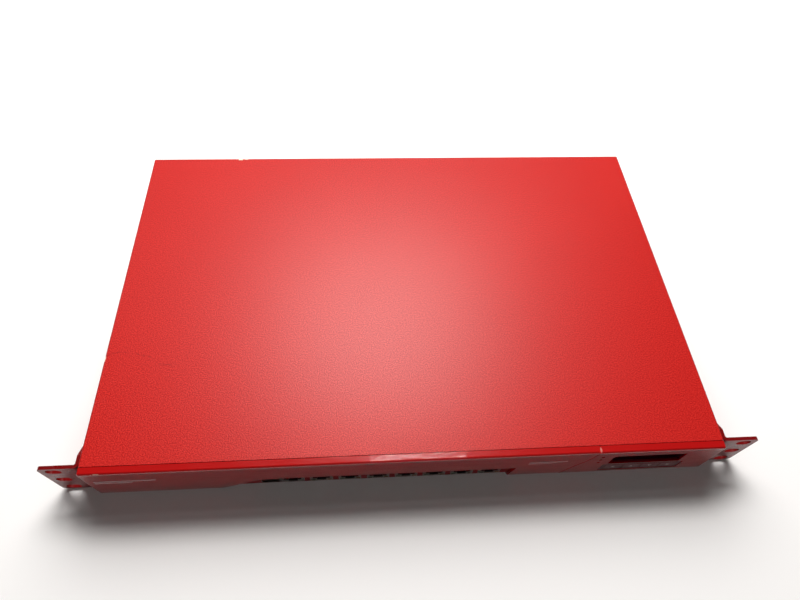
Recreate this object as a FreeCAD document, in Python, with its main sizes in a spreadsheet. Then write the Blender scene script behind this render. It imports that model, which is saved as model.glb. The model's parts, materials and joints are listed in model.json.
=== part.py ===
import FreeCAD, Part
import Sketcher
import math
import os
import re
from FreeCAD import Placement, Rotation, Vector

# Rack-mount firewall appliance, one rack unit high, as an assembly of separate pieces. Millimetres.
# X runs along the front, to the right as the front is seen; Y from front to back; Z is up.
# The origin is under the middle of the whole appliance, on the surface that it stands on.
# "Depth" in a name is a distance back from the bezel's face.

doc = FreeCAD.newDocument("firewall_appliance")

# Driving dimensions, kept in the spreadsheet's cells.
DIMENSIONS = {
    # case
    "rack_width": 482.6, "body_width": 430, "body_height": 44, "total_depth": 288, "rear_proud": 2,
    "tray_sheet": 1.2, "cover_sheet": 1, "cover_play": 0.1, "tray_corner": 1.6, "cover_corner": 1.2,
    "cover_edge": 0.8, "seam": 0.4, "tab_width": 14, "tab_height": 9, "tab_left": -205.5,
    "tab_middle": -12, "tab_right": 84,
    # bezel
    "bezel_depth": 5.4, "bezel_wall": 2.9, "bezel_rim": 1.2, "top_edge": 1.5, "bottom_edge": 4.4,
    "side_edge": 1, "brow_height": 19, "port_end_top": 74, "port_end_foot": 70,
    "zone_step": 0.6, "face_step": 0.2, "zone_edge": 127.2, "crease_width": 1.4, "crease_depth": 0.5,
    # display window and what is behind it
    "window_left": 139, "window_width": 52, "window_foot": 20.8, "window_height": 15.2,
    "collar": 1.2, "collar_depth": 4.3, "window_gap": 0.1, "window_thickness": 1, "window_lap": 1,
    "window_corner": 3.4, "module_width": 61, "module_foot": 18.8, "module_height": 19.4,
    "module_depth": 5.6, "module_thickness": 8.2, "glass_inset": 0.6,
    "control_left": 126.5, "control_right": 199.5, "control_foot": 3.4, "control_height": 36.6,
    "control_board": 1.6,
    # keys and lamps
    "key_first": 145.6, "key_pitch": 13.6, "key_width": 12.4, "key_height": 8.2, "key_foot": 8.9,
    "key_gap": 0.25, "key_face": 0.05, "key_flange_depth": 3.2, "key_flange": 0.8, "key_flange_lip": 1,
    "key_stem": 3, "key_stem_end": 8.6, "key_edge": 0.5, "switch_side": 6, "switch_top": 9.7,
    "strip_left": 136.5, "strip_right": 195, "strip_foot": 6.8, "strip_height": 12.4,
    "strip_thickness": 0.25, "lamp_x": 131.2, "lamp_first": 24.4, "lamp_pitch": 5.4,
    "lamp_radius": 1.1, "lamp_face": 0.35, "lamp_flange_radius": 1.8,
    # front panel and ports
    "panel_depth": 3, "panel_sheet": 1.2, "panel_gap": 0.2, "panel_flange": 9, "board_top": 5.1,
    "port_face": 2, "first_port": -62.7, "port_pitch": 19.9, "console_x": -82.6, "usb_x": -97.6,
    "jack_width": 15.8, "jack_height": 13.2, "jack_length": 17, "shield_sheet": 0.4, "jack_play": 0.05,
    "plug_width": 11.8, "plug_height": 7.6, "plug_length": 12.5, "plug_foot": 4.1,
    "latch_width": 6.2, "latch_height": 2.8, "panel_cut": 0.2,
    "usb_width": 13.2, "usb_height": 12, "usb_length": 15, "usb_slot_width": 12.2,
    "usb_slot_height": 5.1, "usb_slot_length": 12, "usb_wall": 0.6,
    # rack ears
    "ear_sheet": 2.4, "ear_gap": 0.1, "ear_foot": 1, "ear_height": 42, "ear_corner": 3,
    "ear_bend": 3.4, "flange_length": 30, "flange_corner": 5, "flange_taper": 12.5, "taper_start": 8.5,
    "hole_span": 465.1,
    "hole_pitch": 15.875, "hole_middle": 21.5, "slot_width": 6.8, "slot_length": 10.3,
    "ear_screw_depth": 15, "ear_screw_pitch": 12,
    # screws
    "screw_radius": 1.5, "screw_play": 0.05, "head_radius": 2.8, "head_height": 1.4,
    "recess_width": 0.7, "recess_length": 3, "recess_depth": 0.8, "hole_reach": 8, "driver_room": 0.4,
    "cover_screw_front": -78, "cover_screw_back": 128, "cover_screw_height": 33,
    "tab_screw_height": 38.4, "ear_screw": 6, "cover_screw": 3, "fan_screw": 6, "board_screw": 3.2,
    "sink_screw": 6,
    # main board and what is on it
    "board_thickness": 1.6, "board_left": -150, "board_width": 246, "board_depth": 6.4,
    "board_length": 180, "board_inset": 5, "standoff_radius": 2.6, "post_floor": 0.3,
    "chip_side": 35, "chip_height": 2.4, "chip_x": -8, "chip_depth": 108, "sink_side": 72,
    "sink_base": 4, "sink_height": 26, "fin_thickness": 1.4, "fin_pitch": 5, "sink_screw_inset": 4,
    "chipset_side": 32, "chipset_height": 12, "chipset_x": -98, "chipset_depth": 96,
    "socket_length": 139, "socket_width": 6.5, "socket_height": 8, "socket_x": -70, "socket_depth": 166,
    "module_length": 133.35, "module_board": 1.3, "module_rise": 30, "module_seat": 2,
    "memory_chip_width": 12, "memory_chip_length": 10, "memory_chip_height": 1,
    "memory_chip_pitch": 16, "memory_chip_foot": 17,
    "storage_length": 36, "storage_width": 7, "storage_height": 27, "storage_x": 66,
    "storage_depth": 160, "cell_radius": 10, "cell_thickness": 3.2, "cell_x": 70, "cell_depth": 82,
    "holder_radius": 11.6, "holder_height": 4.4, "holder_floor": 0.8,
    "capacitor_radius": 4, "capacitor_height": 12, "capacitor_x": -60, "capacitor_depth": 74,
    "capacitor_pitch": 11,
    "network_width": 15, "network_length": 11, "network_height": 5.5, "network_depth": 28,
    # power supply
    "supply_width": 81.5, "supply_length": 150, "supply_height": 40.5, "supply_sheet": 0.9,
    "supply_right": 210.5, "supply_foot": 1.3, "supply_rim": 2, "supply_flange": 6,
    "supply_board_length": 112, "transformer_side": 30, "transformer_height": 26,
    "transformer_inset": 38, "supply_board_rise": 3, "supply_foot_inset": 8,
    "inlet_x": 191, "inlet_foot": 3.9, "inlet_width": 30.6, "inlet_height": 22.6,
    "inlet_body": 20, "inlet_body_width": 27.4, "inlet_body_height": 19.6,
    "inlet_hole_width": 24.6, "inlet_hole_height": 16.8, "inlet_hole_length": 16, "inlet_corner": 4,
    "blade_width": 2, "blade_height": 4, "blade_length": 12.4, "blade_spread": 7, "blade_offset": 2,
    "switch_foot": 27.5, "switch_width": 21.4, "switch_height": 11.4, "switch_flange": 1.8,
    "switch_body_width": 20.2, "switch_body_height": 10.4, "switch_body": 14, "switch_hole_width": 18.6,
    "switch_hole_height": 8.8, "switch_hole_length": 9, "pivot_inset": 4.7, "pivot_radius": 1,
    "rocker_length": 16.6, "rocker_thickness": 8.2, "rocker_rise": 3.2, "rocker_dish": 1.1,
    "rocker_drop": 4.6, "rocker_tilt": 9,
    # fans
    "fan_side": 38, "fan_length": 20, "fan_bore": 17.8, "fan_hub": 8.6, "fan_tip": 17.2,
    "fan_foot": 2.3, "fan_first": -40, "fan_pitch": 56, "fan_base": 2.2, "fan_strut": 2.4,
    "fan_screw_spread": 15.8, "fan_axial_gap": 0.5, "shaft_radius": 1.5, "shaft_play": 0.05,
    "supply_fan_x": 152.5, "blade_count": 7, "blade_chord": 10,
    # openings for air
    "grille_hole": 1.55, "grille_ring": 3.9, "grille_rings": 4, "vent_radius": 1.25,
    "vent_length": 15, "side_vent_first": -60, "side_vent_pitch": 19, "side_vent_row": 5.4,
    "side_vent_foot": 12, "side_vent_count": 8, "side_vent_rows": 3, "rear_vent_first": -196,
    "rear_vent_pitch": 6.2, "rear_vent_count": 17, "rear_vent_foot": 13, "rear_vent_row": 18,
    "vent_reach": 4, "supply_vent_first": 28, "supply_vent_pitch": 6, "supply_vent_count": 8,
    "supply_vent_height": 28,
    # leads inside
    "lead_radius": 1.2, "lead_bend": 11, "lead_height": 14, "lead_pitch": 3.2, "lead_inset": 14,
    "lead_reach": 30, "harness_end": 92,
}
sheet = doc.addObject("Spreadsheet::Sheet", "dims")
for row, (alias, number) in enumerate(DIMENSIONS.items(), start=1):
    sheet.set(f"A{row}", alias)
    sheet.set(f"B{row}", str(number))
    sheet.setAlias(f"B{row}", alias)
doc.recompute()
size = {alias: float(getattr(sheet, alias)) for alias in DIMENSIONS}

# Places that many pieces start from, written as the sheet's cells.
FRONT = "(-total_depth / 2)"
REAR = "(total_depth / 2 - rear_proud)"
WALL = f"({REAR} - tray_sheet)"
UNDER_COVER = "(body_height - cover_sheet - cover_play)"
BOARD_Y = f"({FRONT} + board_depth)"
SUPPLY_LEFT = "(supply_right - supply_width)"
CONTROL_BOARD_DEPTH = "(module_depth + module_thickness + window_gap)"
front_y = -size["total_depth"] / 2
rear_y = size["total_depth"] / 2 - size["rear_proud"]
wall_y = rear_y - size["tray_sheet"]

SIDES = {"left": -1, "right": 1}
KEYS = ["left", "up", "down", "right"]
PORT_COUNT = 7
subparts = []


# ---------------------------------------------------------------- drawing helpers
def named(text):
    """The expression with each cell's alias written as dims.alias."""
    return re.sub(r"[a-z]+(?:_[a-z]+)*", lambda m: f"dims.{m[0]}" if m[0] in size else m[0], str(text))


def bind(item, **texts):
    for prop, text in texts.items():
        item.setExpression(prop, named(text))
    return item


def place(item, at):
    for axis, text in zip("xyz", at):
        item.setExpression(f"Placement.Base.{axis}", named(text))
    return item


def block(name, across, deep, tall, at):
    """A box with its lowest corner at the point given."""
    item = doc.addObject("Part::Box", name)
    bind(item, Length=across, Width=deep, Height=tall)
    return place(item, at)


def middle_block(name, across, deep, tall, at):
    """A box centred in X on the point given."""
    x, y, z = at
    return block(name, across, deep, tall, (f"({x}) - ({across}) / 2", y, z))


def rod(name, radius, length, at, along="z"):
    turns = {"z": Rotation(), "y": Rotation(Vector(1, 0, 0), -90), "x": Rotation(Vector(0, 1, 0), 90)}
    item = doc.addObject("Part::Cylinder", name)
    bind(item, Radius=radius, Height=length)
    item.Placement = Placement(Vector(), turns[along])
    return place(item, at)


def joined(name, items):
    item = doc.addObject("Part::MultiFuse", name)
    item.Shapes = items
    item.Refine = True
    return item


def cut(name, base, tools):
    item = doc.addObject("Part::Cut", name)
    item.Base = base
    item.Tool = tools[0] if len(tools) == 1 else grouped(f"{name}_tools", tools)
    return item


def grouped(name, items):
    """Separate solids kept in one piece, such as a set of screws."""
    item = doc.addObject("Part::Compound", name)
    item.Links = items
    return item


def feature(name, shape):
    item = doc.addObject("Part::Feature", name)
    item.Shape = shape
    return item


def rounded(name, base, radius, test):
    """The base with every edge that passes the test rounded to the radius."""
    doc.recompute()
    item = doc.addObject("Part::Fillet", name)
    item.Base = base
    item.Edges = [(i, size[radius], size[radius]) for i, e in enumerate(base.Shape.Edges, 1) if test(e)]
    return item


def subpart(item, label):
    item.Label = label
    subparts.append(item)
    return item


def edge_box(edge):
    box = edge.BoundBox
    return box.Center, Vector(box.XLength, box.YLength, box.ZLength)


def runs(edge, axis):
    """Whether the edge is a straight one along the axis."""
    length = dict(zip("xyz", edge_box(edge)[1]))
    return all((length[a] > 0.5) == (a == axis) for a in "xyz")


# ---------------------------------------------------------------- sketch helpers
class Body:
    """A PartDesign body that is drawn on its own origin planes."""

    def __init__(self, name):
        self.body = doc.addObject("PartDesign::Body", name)
        self.planes = {f.Role: f for f in self.body.Origin.OriginFeatures}
        self.count = 0

    def add(self, kind):
        self.count += 1
        return self.body.newObject(kind, f"{self.body.Name}_{kind.split('::')[1].lower()}_{self.count}")

    def sketch(self, plane, offset="0"):
        drawing = self.add("Sketcher::SketchObject")
        drawing.AttachmentSupport = [(self.planes[plane], "")]
        drawing.MapMode = "FlatFace"
        drawing.setExpression("AttachmentOffset.Base.z", named(offset))
        return drawing

    def grow(self, kind, drawing, length, reverse=False):
        made = self.add(f"PartDesign::{kind}")
        before = self.body.Shape.Volume if self.body.Tip and not self.body.Shape.isNull() else 0
        made.Profile = drawing
        made.Reversed = reverse
        made.setExpression("Length", named(length))
        doc.recompute()
        change = self.body.Shape.Volume - before
        if (change > 0) != (kind == "Pad") or abs(change) < 1e-6:
            raise RuntimeError(f"{made.Name} changed the volume by {change}")
        return made

    def fillet(self, radius, test):
        made = self.add("PartDesign::Fillet")
        base = [f for f in self.body.Group if f.isDerivedFrom("PartDesign::Feature")][-2]
        names = [f"Edge{i}" for i, e in enumerate(base.Shape.Edges, 1) if test(e)]
        made.Base = (base, names)
        made.setExpression("Radius", named(radius))
        doc.recompute()
        return made


def hold(drawing, kind, text, *where):
    index = drawing.addConstraint(Sketcher.Constraint(kind, *where, 1.0))
    drawing.setExpression(f"Constraints[{index}]", named(text))


def rectangle(drawing, left, foot, across, tall):
    """A rectangle held by its lowest corner and its two sides."""
    first = drawing.GeometryCount
    corners = [Vector(0, 0), Vector(10, 0), Vector(10, 10), Vector(0, 10)]
    for start, end in zip(corners, corners[1:] + corners[:1]):
        drawing.addGeometry(Part.LineSegment(start, end), False)
    for i in range(4):
        drawing.addConstraint(Sketcher.Constraint("Coincident", first + i, 2, first + (i + 1) % 4, 1))
        drawing.addConstraint(Sketcher.Constraint("Vertical" if i % 2 else "Horizontal", first + i))
    hold(drawing, "DistanceX", across, first, 1, first, 2)
    hold(drawing, "DistanceY", tall, first + 1, 1, first + 1, 2)
    hold(drawing, "DistanceX", left, -1, 1, first, 1)
    hold(drawing, "DistanceY", foot, -1, 1, first, 1)


def outline(drawing, start, legs):
    """A closed run of legs: (end,) is straight and (middle, end) is an arc."""
    at = Vector(*start)
    for leg in legs:
        end = Vector(*leg[-1])
        shape = Part.LineSegment(at, end) if len(leg) == 1 else Part.Arc(at, Vector(*leg[0]), end)
        drawing.addGeometry(shape, False)
        at = end
    drawing.addGeometry(Part.LineSegment(at, Vector(*start)), False)


def slot_outline(drawing, x, y, length, width):
    """A level slot with round ends, about its middle."""
    half = (length - width) / 2
    radius = width / 2
    drawing.addGeometry(Part.LineSegment(Vector(x - half, y - radius), Vector(x + half, y - radius)), False)
    drawing.addGeometry(Part.Arc(Vector(x + half, y - radius), Vector(x + half + radius, y),
                                 Vector(x + half, y + radius)), False)
    drawing.addGeometry(Part.LineSegment(Vector(x + half, y + radius), Vector(x - half, y + radius)), False)
    drawing.addGeometry(Part.Arc(Vector(x - half, y + radius), Vector(x - half - radius, y),
                                 Vector(x - half, y - radius)), False)


# ---------------------------------------------------------------- fasteners and holes
def pan_screw(name, length, at, inward):
    """A cross-recess pan-head screw; at is under its head, and inward is the way that it goes in."""
    radius = size["screw_radius"]
    head = Part.makeCylinder(size["head_radius"], size["head_height"])
    rim = [e for e in head.Edges if e.BoundBox.ZMin > size["head_height"] - 0.01 and len(e.Vertexes) == 1]
    screw = head.makeFillet(size["head_height"] * 0.5, rim)
    for across, deep in ((size["recess_length"], size["recess_width"]),
                         (size["recess_width"], size["recess_length"])):
        corner = Vector(-across / 2, -deep / 2, size["head_height"] - size["recess_depth"])
        screw = screw.cut(Part.makeBox(across, deep, size["recess_depth"] + 1, corner))
    screw = screw.fuse(Part.makeCylinder(radius, length, Vector(0, 0, -length))).removeSplitter()
    made = feature(name, screw)
    made.Placement = Placement(Vector(*at), Rotation(Vector(0, 0, -1), Vector(*inward)))
    return made


def screw_set(label, length, spots):
    """Screws of one kind, each (point under the head, way in), as one piece of separate solids."""
    screws = [pan_screw(f"{label}_{i}", length, at, inward) for i, (at, inward) in enumerate(spots, 1)]
    return subpart(grouped(f"{label}_set", screws), label)


def screw_holes(name, spots):
    """Round cutters through everything near each screw's seat, along the screw."""
    reach = size["hole_reach"]
    radius = size["screw_radius"] + size["screw_play"]
    cutters = []
    for at, inward in spots:
        way = Vector(*inward)
        cutters.append(Part.makeCylinder(radius, 2 * reach, Vector(*at) - way * reach, way))
    return feature(name, Part.makeCompound(cutters))


def ring_grille(name, x, z, near, far):
    """Rings of round holes about a middle hole, cut along Y."""
    cutters = [Part.makeCylinder(size["grille_hole"], far - near, Vector(x, near, z), Vector(0, 1, 0))]
    for ring in range(1, int(size["grille_rings"]) + 1):
        for step in range(6 * ring):
            angle = math.tau * step / (6 * ring)
            reach = ring * size["grille_ring"]
            at = Vector(x + reach * math.cos(angle), near, z + reach * math.sin(angle))
            cutters.append(Part.makeCylinder(size["grille_hole"], far - near, at, Vector(0, 1, 0)))
    return feature(name, Part.makeCompound(cutters))


def slot_cutter(middle, along, length, radius, through, reach):
    """A round-ended slot as a solid: along is its long way, through is the way it is cut."""
    half = (length / 2 - radius)
    start = middle - along * half - through * reach
    side = through.cross(along)
    corners = [start + side * radius, start + along * 2 * half + side * radius,
               start + along * 2 * half - side * radius, start - side * radius]
    tips = [start + along * (2 * half + radius), start - along * radius]
    edges = [Part.LineSegment(corners[0], corners[1]), Part.Arc(corners[1], tips[0], corners[2]),
             Part.LineSegment(corners[2], corners[3]), Part.Arc(corners[3], tips[1], corners[0])]
    face = Part.Face(Part.Wire([e.toShape() for e in edges]))
    return face.extrude(through * 2 * reach)


def side_vents(name, grow=0.0):
    """Three rows of level slots in each side wall."""
    cutters = []
    for side in SIDES.values():
        for row in range(int(size["side_vent_rows"])):
            for step in range(int(size["side_vent_count"])):
                middle = Vector(side * size["body_width"] / 2,
                                size["side_vent_first"] + step * size["side_vent_pitch"],
                                size["side_vent_foot"] + row * size["side_vent_row"])
                cutters.append(slot_cutter(middle, Vector(0, 1, 0), size["vent_length"] + grow,
                                           size["vent_radius"] + grow / 2, Vector(1, 0, 0),
                                           size["vent_reach"]))
    return feature(name, Part.makeCompound(cutters))


def rear_vents(name):
    """Two rows of upright slots in the rear wall, beside the fans."""
    cutters = []
    for row in range(2):
        for step in range(int(size["rear_vent_count"])):
            middle = Vector(size["rear_vent_first"] + step * size["rear_vent_pitch"], rear_y,
                            size["rear_vent_foot"] + row * size["rear_vent_row"])
            cutters.append(slot_cutter(middle, Vector(0, 0, 1), size["vent_length"], size["vent_radius"],
                                       Vector(0, 1, 0), size["vent_reach"]))
    return feature(name, Part.makeCompound(cutters))


# ---------------------------------------------------------------- where the screws and fans go
half_width = size["body_width"] / 2
tray_half = half_width - size["cover_sheet"] - size["cover_play"]
supply_left = size["supply_right"] - size["supply_width"]
fan_places = [size["fan_first"] + i * size["fan_pitch"] for i in range(2)]
fan_middle = size["fan_foot"] + size["fan_side"] / 2
tab_places = [size["tab_left"], size["tab_middle"], size["tab_right"]]
EAR_SCREWS = [((side * (half_width + size["ear_gap"] + size["ear_sheet"]),
                front_y + size["ear_screw_depth"],
                size["hole_middle"] + step * size["ear_screw_pitch"]), (-side, 0, 0))
              for side in SIDES.values() for step in (-1, 0, 1)]
COVER_SIDE_SCREWS = [((side * half_width, size[row], size["cover_screw_height"]), (-side, 0, 0))
                     for side in SIDES.values() for row in ("cover_screw_front", "cover_screw_back")]
COVER_REAR_SCREWS = [((x, rear_y, size["tab_screw_height"]), (0, -1, 0)) for x in tab_places]
FAN_SCREWS = [((x + dx, rear_y, fan_middle + dz), (0, -1, 0)) for x in fan_places
              for dx in (-size["fan_screw_spread"], size["fan_screw_spread"])
              for dz in (-size["fan_screw_spread"], size["fan_screw_spread"])]
BOARD_HOLES = [(size["board_left"] + across, front_y + size["board_depth"] + deep)
               for across in (size["board_inset"], 120, size["board_width"] - size["board_inset"])
               for deep in (37.6, size["board_length"] - size["board_inset"])]


# ---------------------------------------------------------------- case
def chassis_tray():
    """Floor, two sides and rear wall folded from one sheet."""
    across = "body_width - 2 * cover_sheet - 2 * cover_play"
    front = f"{FRONT} + bezel_depth + cover_play"
    length = f"{REAR} - ({front})"
    parts = [middle_block("tray_floor", across, length, "tray_sheet", ("0", front, "0")),
             middle_block("tray_rear", across, "tray_sheet", UNDER_COVER, ("0", WALL, "0")),
             block("tray_left", "tray_sheet", length, UNDER_COVER, (f"-({across}) / 2", front, "0")),
             block("tray_right", "tray_sheet", length, UNDER_COVER,
                   (f"({across}) / 2 - tray_sheet", front, "0"))]
    shell = joined("tray_shell", parts)
    bent = rounded("tray_bent", shell, "tray_corner",
                   lambda e: edge_box(e)[0].z < 0.01 and edge_box(e)[0].y > -100
                   or runs(e, "z") and edge_box(e)[0].y > rear_y - 0.1)
    window = block("tray_supply_window", "supply_width - 2 * supply_rim", "4 * tray_sheet",
                   "supply_height - 2 * supply_rim",
                   (f"{SUPPLY_LEFT} + supply_rim", f"{WALL} - tray_sheet", "supply_foot + supply_rim"))
    grilles = [ring_grille(f"tray_grille_{i}", x, fan_middle, wall_y - 1, rear_y + 1)
               for i, x in enumerate(fan_places, 1)]
    holes = screw_holes("tray_screw_holes",
                        EAR_SCREWS + COVER_SIDE_SCREWS + COVER_REAR_SCREWS + FAN_SCREWS)
    tools = [window, side_vents("tray_side_vents", 0.4), rear_vents("tray_rear_vents"), holes] + grilles
    subpart(cut("tray_cut", bent, tools), "chassis_tray")


def top_cover():
    """Lid with its two sides and three rear tabs folded down."""
    front = f"{FRONT} + bezel_depth + seam"
    length = f"{REAR} - ({front})"
    foot = "tray_sheet"
    side_height = f"body_height - {foot}"
    parts = [middle_block("cover_top", "body_width", length, "cover_sheet",
                          ("0", front, "body_height - cover_sheet")),
             block("cover_left", "cover_sheet", length, side_height, ("-body_width / 2", front, foot)),
             block("cover_right", "cover_sheet", length, side_height,
                   ("body_width / 2 - cover_sheet", front, foot))]
    for i, x in enumerate(tab_places, 1):
        parts.append(middle_block(f"cover_tab_{i}", "tab_width", "cover_sheet", "tab_height",
                                  (x, f"{WALL} - cover_play - cover_sheet", "body_height - tab_height")))
    shell = joined("cover_shell", parts)
    corners = rounded("cover_corners", shell, "cover_corner",
                      lambda e: runs(e, "z") and edge_box(e)[0].y > rear_y - 0.1
                      and abs(abs(edge_box(e)[0].x) - half_width) < 0.1)
    bent = rounded("cover_bent", corners, "cover_edge",
                   lambda e: edge_box(e)[0].z > size["body_height"] - 0.01
                   and (abs(edge_box(e)[0].x) > half_width - 5 or edge_box(e)[0].y > rear_y - 5))
    tools = [side_vents("cover_side_vents"),
             screw_holes("cover_screw_holes", EAR_SCREWS + COVER_SIDE_SCREWS + COVER_REAR_SCREWS)]
    subpart(cut("cover_cut", bent, tools), "top_cover")


def rounded_cap(name, back, thickness):
    """A block as wide and tall as the case, from the plane at back forwards, with rounded front edges."""
    made = Body(name)
    drawing = made.sketch("XZ_Plane", back)
    rectangle(drawing, "-body_width / 2", "0", "body_width", "body_height")
    made.grow("Pad", drawing, thickness)
    near = made.body.Shape.BoundBox.YMin + 0.1
    made.fillet("bottom_edge", lambda e: runs(e, "x") and edge_box(e)[0].z < 1 and edge_box(e)[0].y < near)
    made.fillet("top_edge", lambda e: runs(e, "x") and edge_box(e)[0].z > size["body_height"] - 1
                and edge_box(e)[0].y < near)
    made.fillet("side_edge", lambda e: runs(e, "z") and edge_box(e)[0].y < near)
    return made


def front_bezel():
    """Glossy cap over the front, open under its brow for the ports and pierced for the controls.

    The part of its face round the controls stands a little proud of the rest, up to a curved edge."""
    face = "total_depth / 2"
    back = f"{face} - bezel_depth"
    made = rounded_cap("front_bezel_body", back, "bezel_depth")
    drawing = made.sketch("XZ_Plane", back)
    rectangle(drawing, "-body_width / 2 + bezel_rim", "bezel_rim", "body_width - 2 * bezel_rim",
              "body_height - 2 * bezel_rim")
    made.grow("Pocket", drawing, "bezel_depth - bezel_wall", reverse=True)

    drawing = made.sketch("XZ_Plane", back)
    brow = size["brow_height"]
    outline(drawing, (-142, -1),
            [((-132, 3.4), (-122, 8.2)), ((-111, 14.5), (-98, brow)), ((size["port_end_top"], brow),),
             ((size["port_end_foot"], -1),)])
    made.grow("Pocket", drawing, "2 * bezel_depth", reverse=True)

    drawing = made.sketch("XZ_Plane", face)
    rectangle(drawing, "strip_left - key_gap", "strip_foot - key_gap",
              "strip_right - strip_left + 2 * key_gap", "strip_height + 2 * key_gap")
    made.grow("Pocket", drawing, "zone_step")

    drawing = made.sketch("XZ_Plane", f"{face} - collar_depth")
    rectangle(drawing, "window_left - collar", "window_foot - collar", "window_width + 2 * collar",
              "window_height + 2 * collar")
    made.grow("Pad", drawing, "collar_depth - bezel_wall + zone_step")
    drawing = made.sketch("XZ_Plane", face)
    window_outline(drawing)
    made.grow("Pocket", drawing, "2 * bezel_depth")

    drawing = made.sketch("XZ_Plane", face)
    for i in range(len(KEYS)):
        rectangle(drawing, f"key_first + {i} * key_pitch - key_width / 2 - key_gap", "key_foot - key_gap",
                  "key_width + 2 * key_gap", "key_height + 2 * key_gap")
    made.grow("Pocket", drawing, "2 * bezel_depth")
    drawing = made.sketch("XZ_Plane", face)
    for i in range(3):
        circle_at(drawing, "lamp_x", f"lamp_first + {i} * lamp_pitch", "lamp_radius + screw_play")
    made.grow("Pocket", drawing, "2 * bezel_depth")

    left = Body("bezel_left_body")
    drawing = left.sketch("XZ_Plane", back)
    past = half_width + 1
    above = size["body_height"] + 1
    outline(drawing, (107.4, -1),
            [((113.4, 13), (120.6, 26)), ((123.6, 32.5), (125.6, 39.5)), ((size["zone_edge"], above),),
             ((-past, above),), ((-past, -1),)])
    left.grow("Pad", drawing, "2 * bezel_depth")
    lower = rounded_cap("bezel_lower_body", f"{back} - bezel_depth", "2 * bezel_depth - face_step")
    step = cut("bezel_step", left.body, [lower.body])
    crease = block("bezel_crease", "crease_width", "3 * bezel_depth", "1",
                   ("zone_edge - crease_width", f"{FRONT} - bezel_depth", "body_height - crease_depth"))
    subpart(cut("bezel_cut", made.body, [step, crease]), "front_bezel")


def window_outline(drawing):
    """The display opening: square corners but for a large radius at its top left."""
    left = size["window_left"]
    foot = size["window_foot"]
    right = left + size["window_width"]
    top = foot + size["window_height"]
    turn = size["window_corner"]
    bow = turn * (1 - math.sqrt(0.5))
    outline(drawing, (left, foot), [((right, foot),), ((right, top),), ((left + turn, top),),
                                    ((left + bow, top - bow), (left, top - turn))])


def circle_at(drawing, x, y, radius):
    index = drawing.addGeometry(Part.Circle(Vector(1, 1), Vector(0, 0, 1), 1), False)
    hold(drawing, "Radius", radius, index)
    hold(drawing, "DistanceX", x, -1, 1, index, 3)
    hold(drawing, "DistanceY", y, -1, 1, index, 3)


def port_panel():
    """Steel plate behind the bezel that the ports look through, with a flange above and below."""
    depth = f"{FRONT} + panel_depth"
    across = "body_width - 2 * bezel_rim - 4 * panel_gap"
    foot = "tray_sheet + panel_gap"
    tall = f"{UNDER_COVER} - panel_gap * 2 - ({foot})"
    shell = joined("panel_shell", [
        middle_block("panel_plate", across, "panel_sheet", tall, ("0", depth, foot)),
        middle_block("panel_bottom", "body_width - 8 * panel_sheet", "panel_flange", "panel_sheet",
                     ("0", depth, foot)),
        middle_block("panel_top", "body_width - 8 * panel_sheet", "panel_flange", "panel_sheet",
                     ("0", depth, f"{foot} + {tall} - panel_sheet"))])
    cuts = [middle_block(f"panel_port_{i}", "jack_width + 2 * panel_cut", "4 * panel_sheet",
                         "jack_height + 2 * panel_cut",
                         (x, f"{depth} - panel_sheet", "board_top - panel_cut"))
            for i, x in enumerate(jack_places())]
    cuts.append(middle_block("panel_usb", "usb_width + 2 * panel_cut", "4 * panel_sheet",
                             "usb_height + 2 * panel_cut",
                             ("usb_x", f"{depth} - panel_sheet", "board_top - panel_cut")))
    cuts.append(block("panel_control", "control_right - control_left + 2 * panel_gap", "4 * panel_sheet",
                      "control_height + 2 * panel_gap",
                      ("control_left - panel_gap", f"{depth} - panel_sheet", "control_foot - panel_gap")))
    subpart(cut("panel_cut_out", shell, cuts), "port_panel")


def rack_ear(name, side):
    """Angle bracket: a slotted flange beside the bezel and a flange screwed to the case's side."""
    made = Body(f"ear_{name}_body")
    inner = half_width + size["ear_gap"]
    outer = inner + size["ear_sheet"]
    reach = size["rack_width"] / 2
    near = front_y + size["bezel_depth"]
    bend = size["ear_bend"]
    hollow = bend - size["ear_sheet"]
    drawing = made.sketch("XY_Plane", "ear_foot")
    sheet_y = near + size["ear_sheet"]
    back = near + size["flange_length"]
    bow = 1 - math.sqrt(0.5)
    points = [((side * (inner + bend * bow), near + bend * bow), (side * (inner + bend), near)),
              ((side * reach, near),), ((side * reach, sheet_y),), ((side * (outer + hollow), sheet_y),),
              ((side * (outer + hollow * bow), sheet_y + hollow * bow),
               (side * outer, sheet_y + hollow)),
              ((side * outer, back),), ((side * inner, back),)]
    outline(drawing, (side * inner, near + bend), points)
    made.grow("Pad", drawing, "ear_height")
    made.fillet("ear_corner", lambda e: runs(e, "y") and abs(edge_box(e)[0].x) > reach - 0.1)
    drawing = made.sketch("YZ_Plane")
    start = near + size["taper_start"]
    for edge, out in ((size["ear_foot"] + size["ear_height"], 1), (size["ear_foot"], -1)):
        low = edge - out * size["flange_taper"]
        outline(drawing, (start, edge),
                [((back, low),), ((back + 1, low),), ((back + 1, edge + out),), ((start, edge + out),)])
    made.grow("Pocket", drawing, "rack_width", reverse=side > 0)
    made.fillet("flange_corner", lambda e: runs(e, "x") and edge_box(e)[0].y > back - 0.1)
    drawing = made.sketch("XZ_Plane", "total_depth / 2")
    for step in (-1, 0, 1):
        slot_outline(drawing, side * size["hole_span"] / 2, size["hole_middle"] + step * size["hole_pitch"],
                     size["slot_length"], size["slot_width"])
    made.grow("Pocket", drawing, "4 * bezel_depth")
    subpart(cut(f"ear_{name}_cut", made.body, [screw_holes(f"ear_{name}_holes", EAR_SCREWS)]),
            f"rack_ear_{name}")


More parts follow.
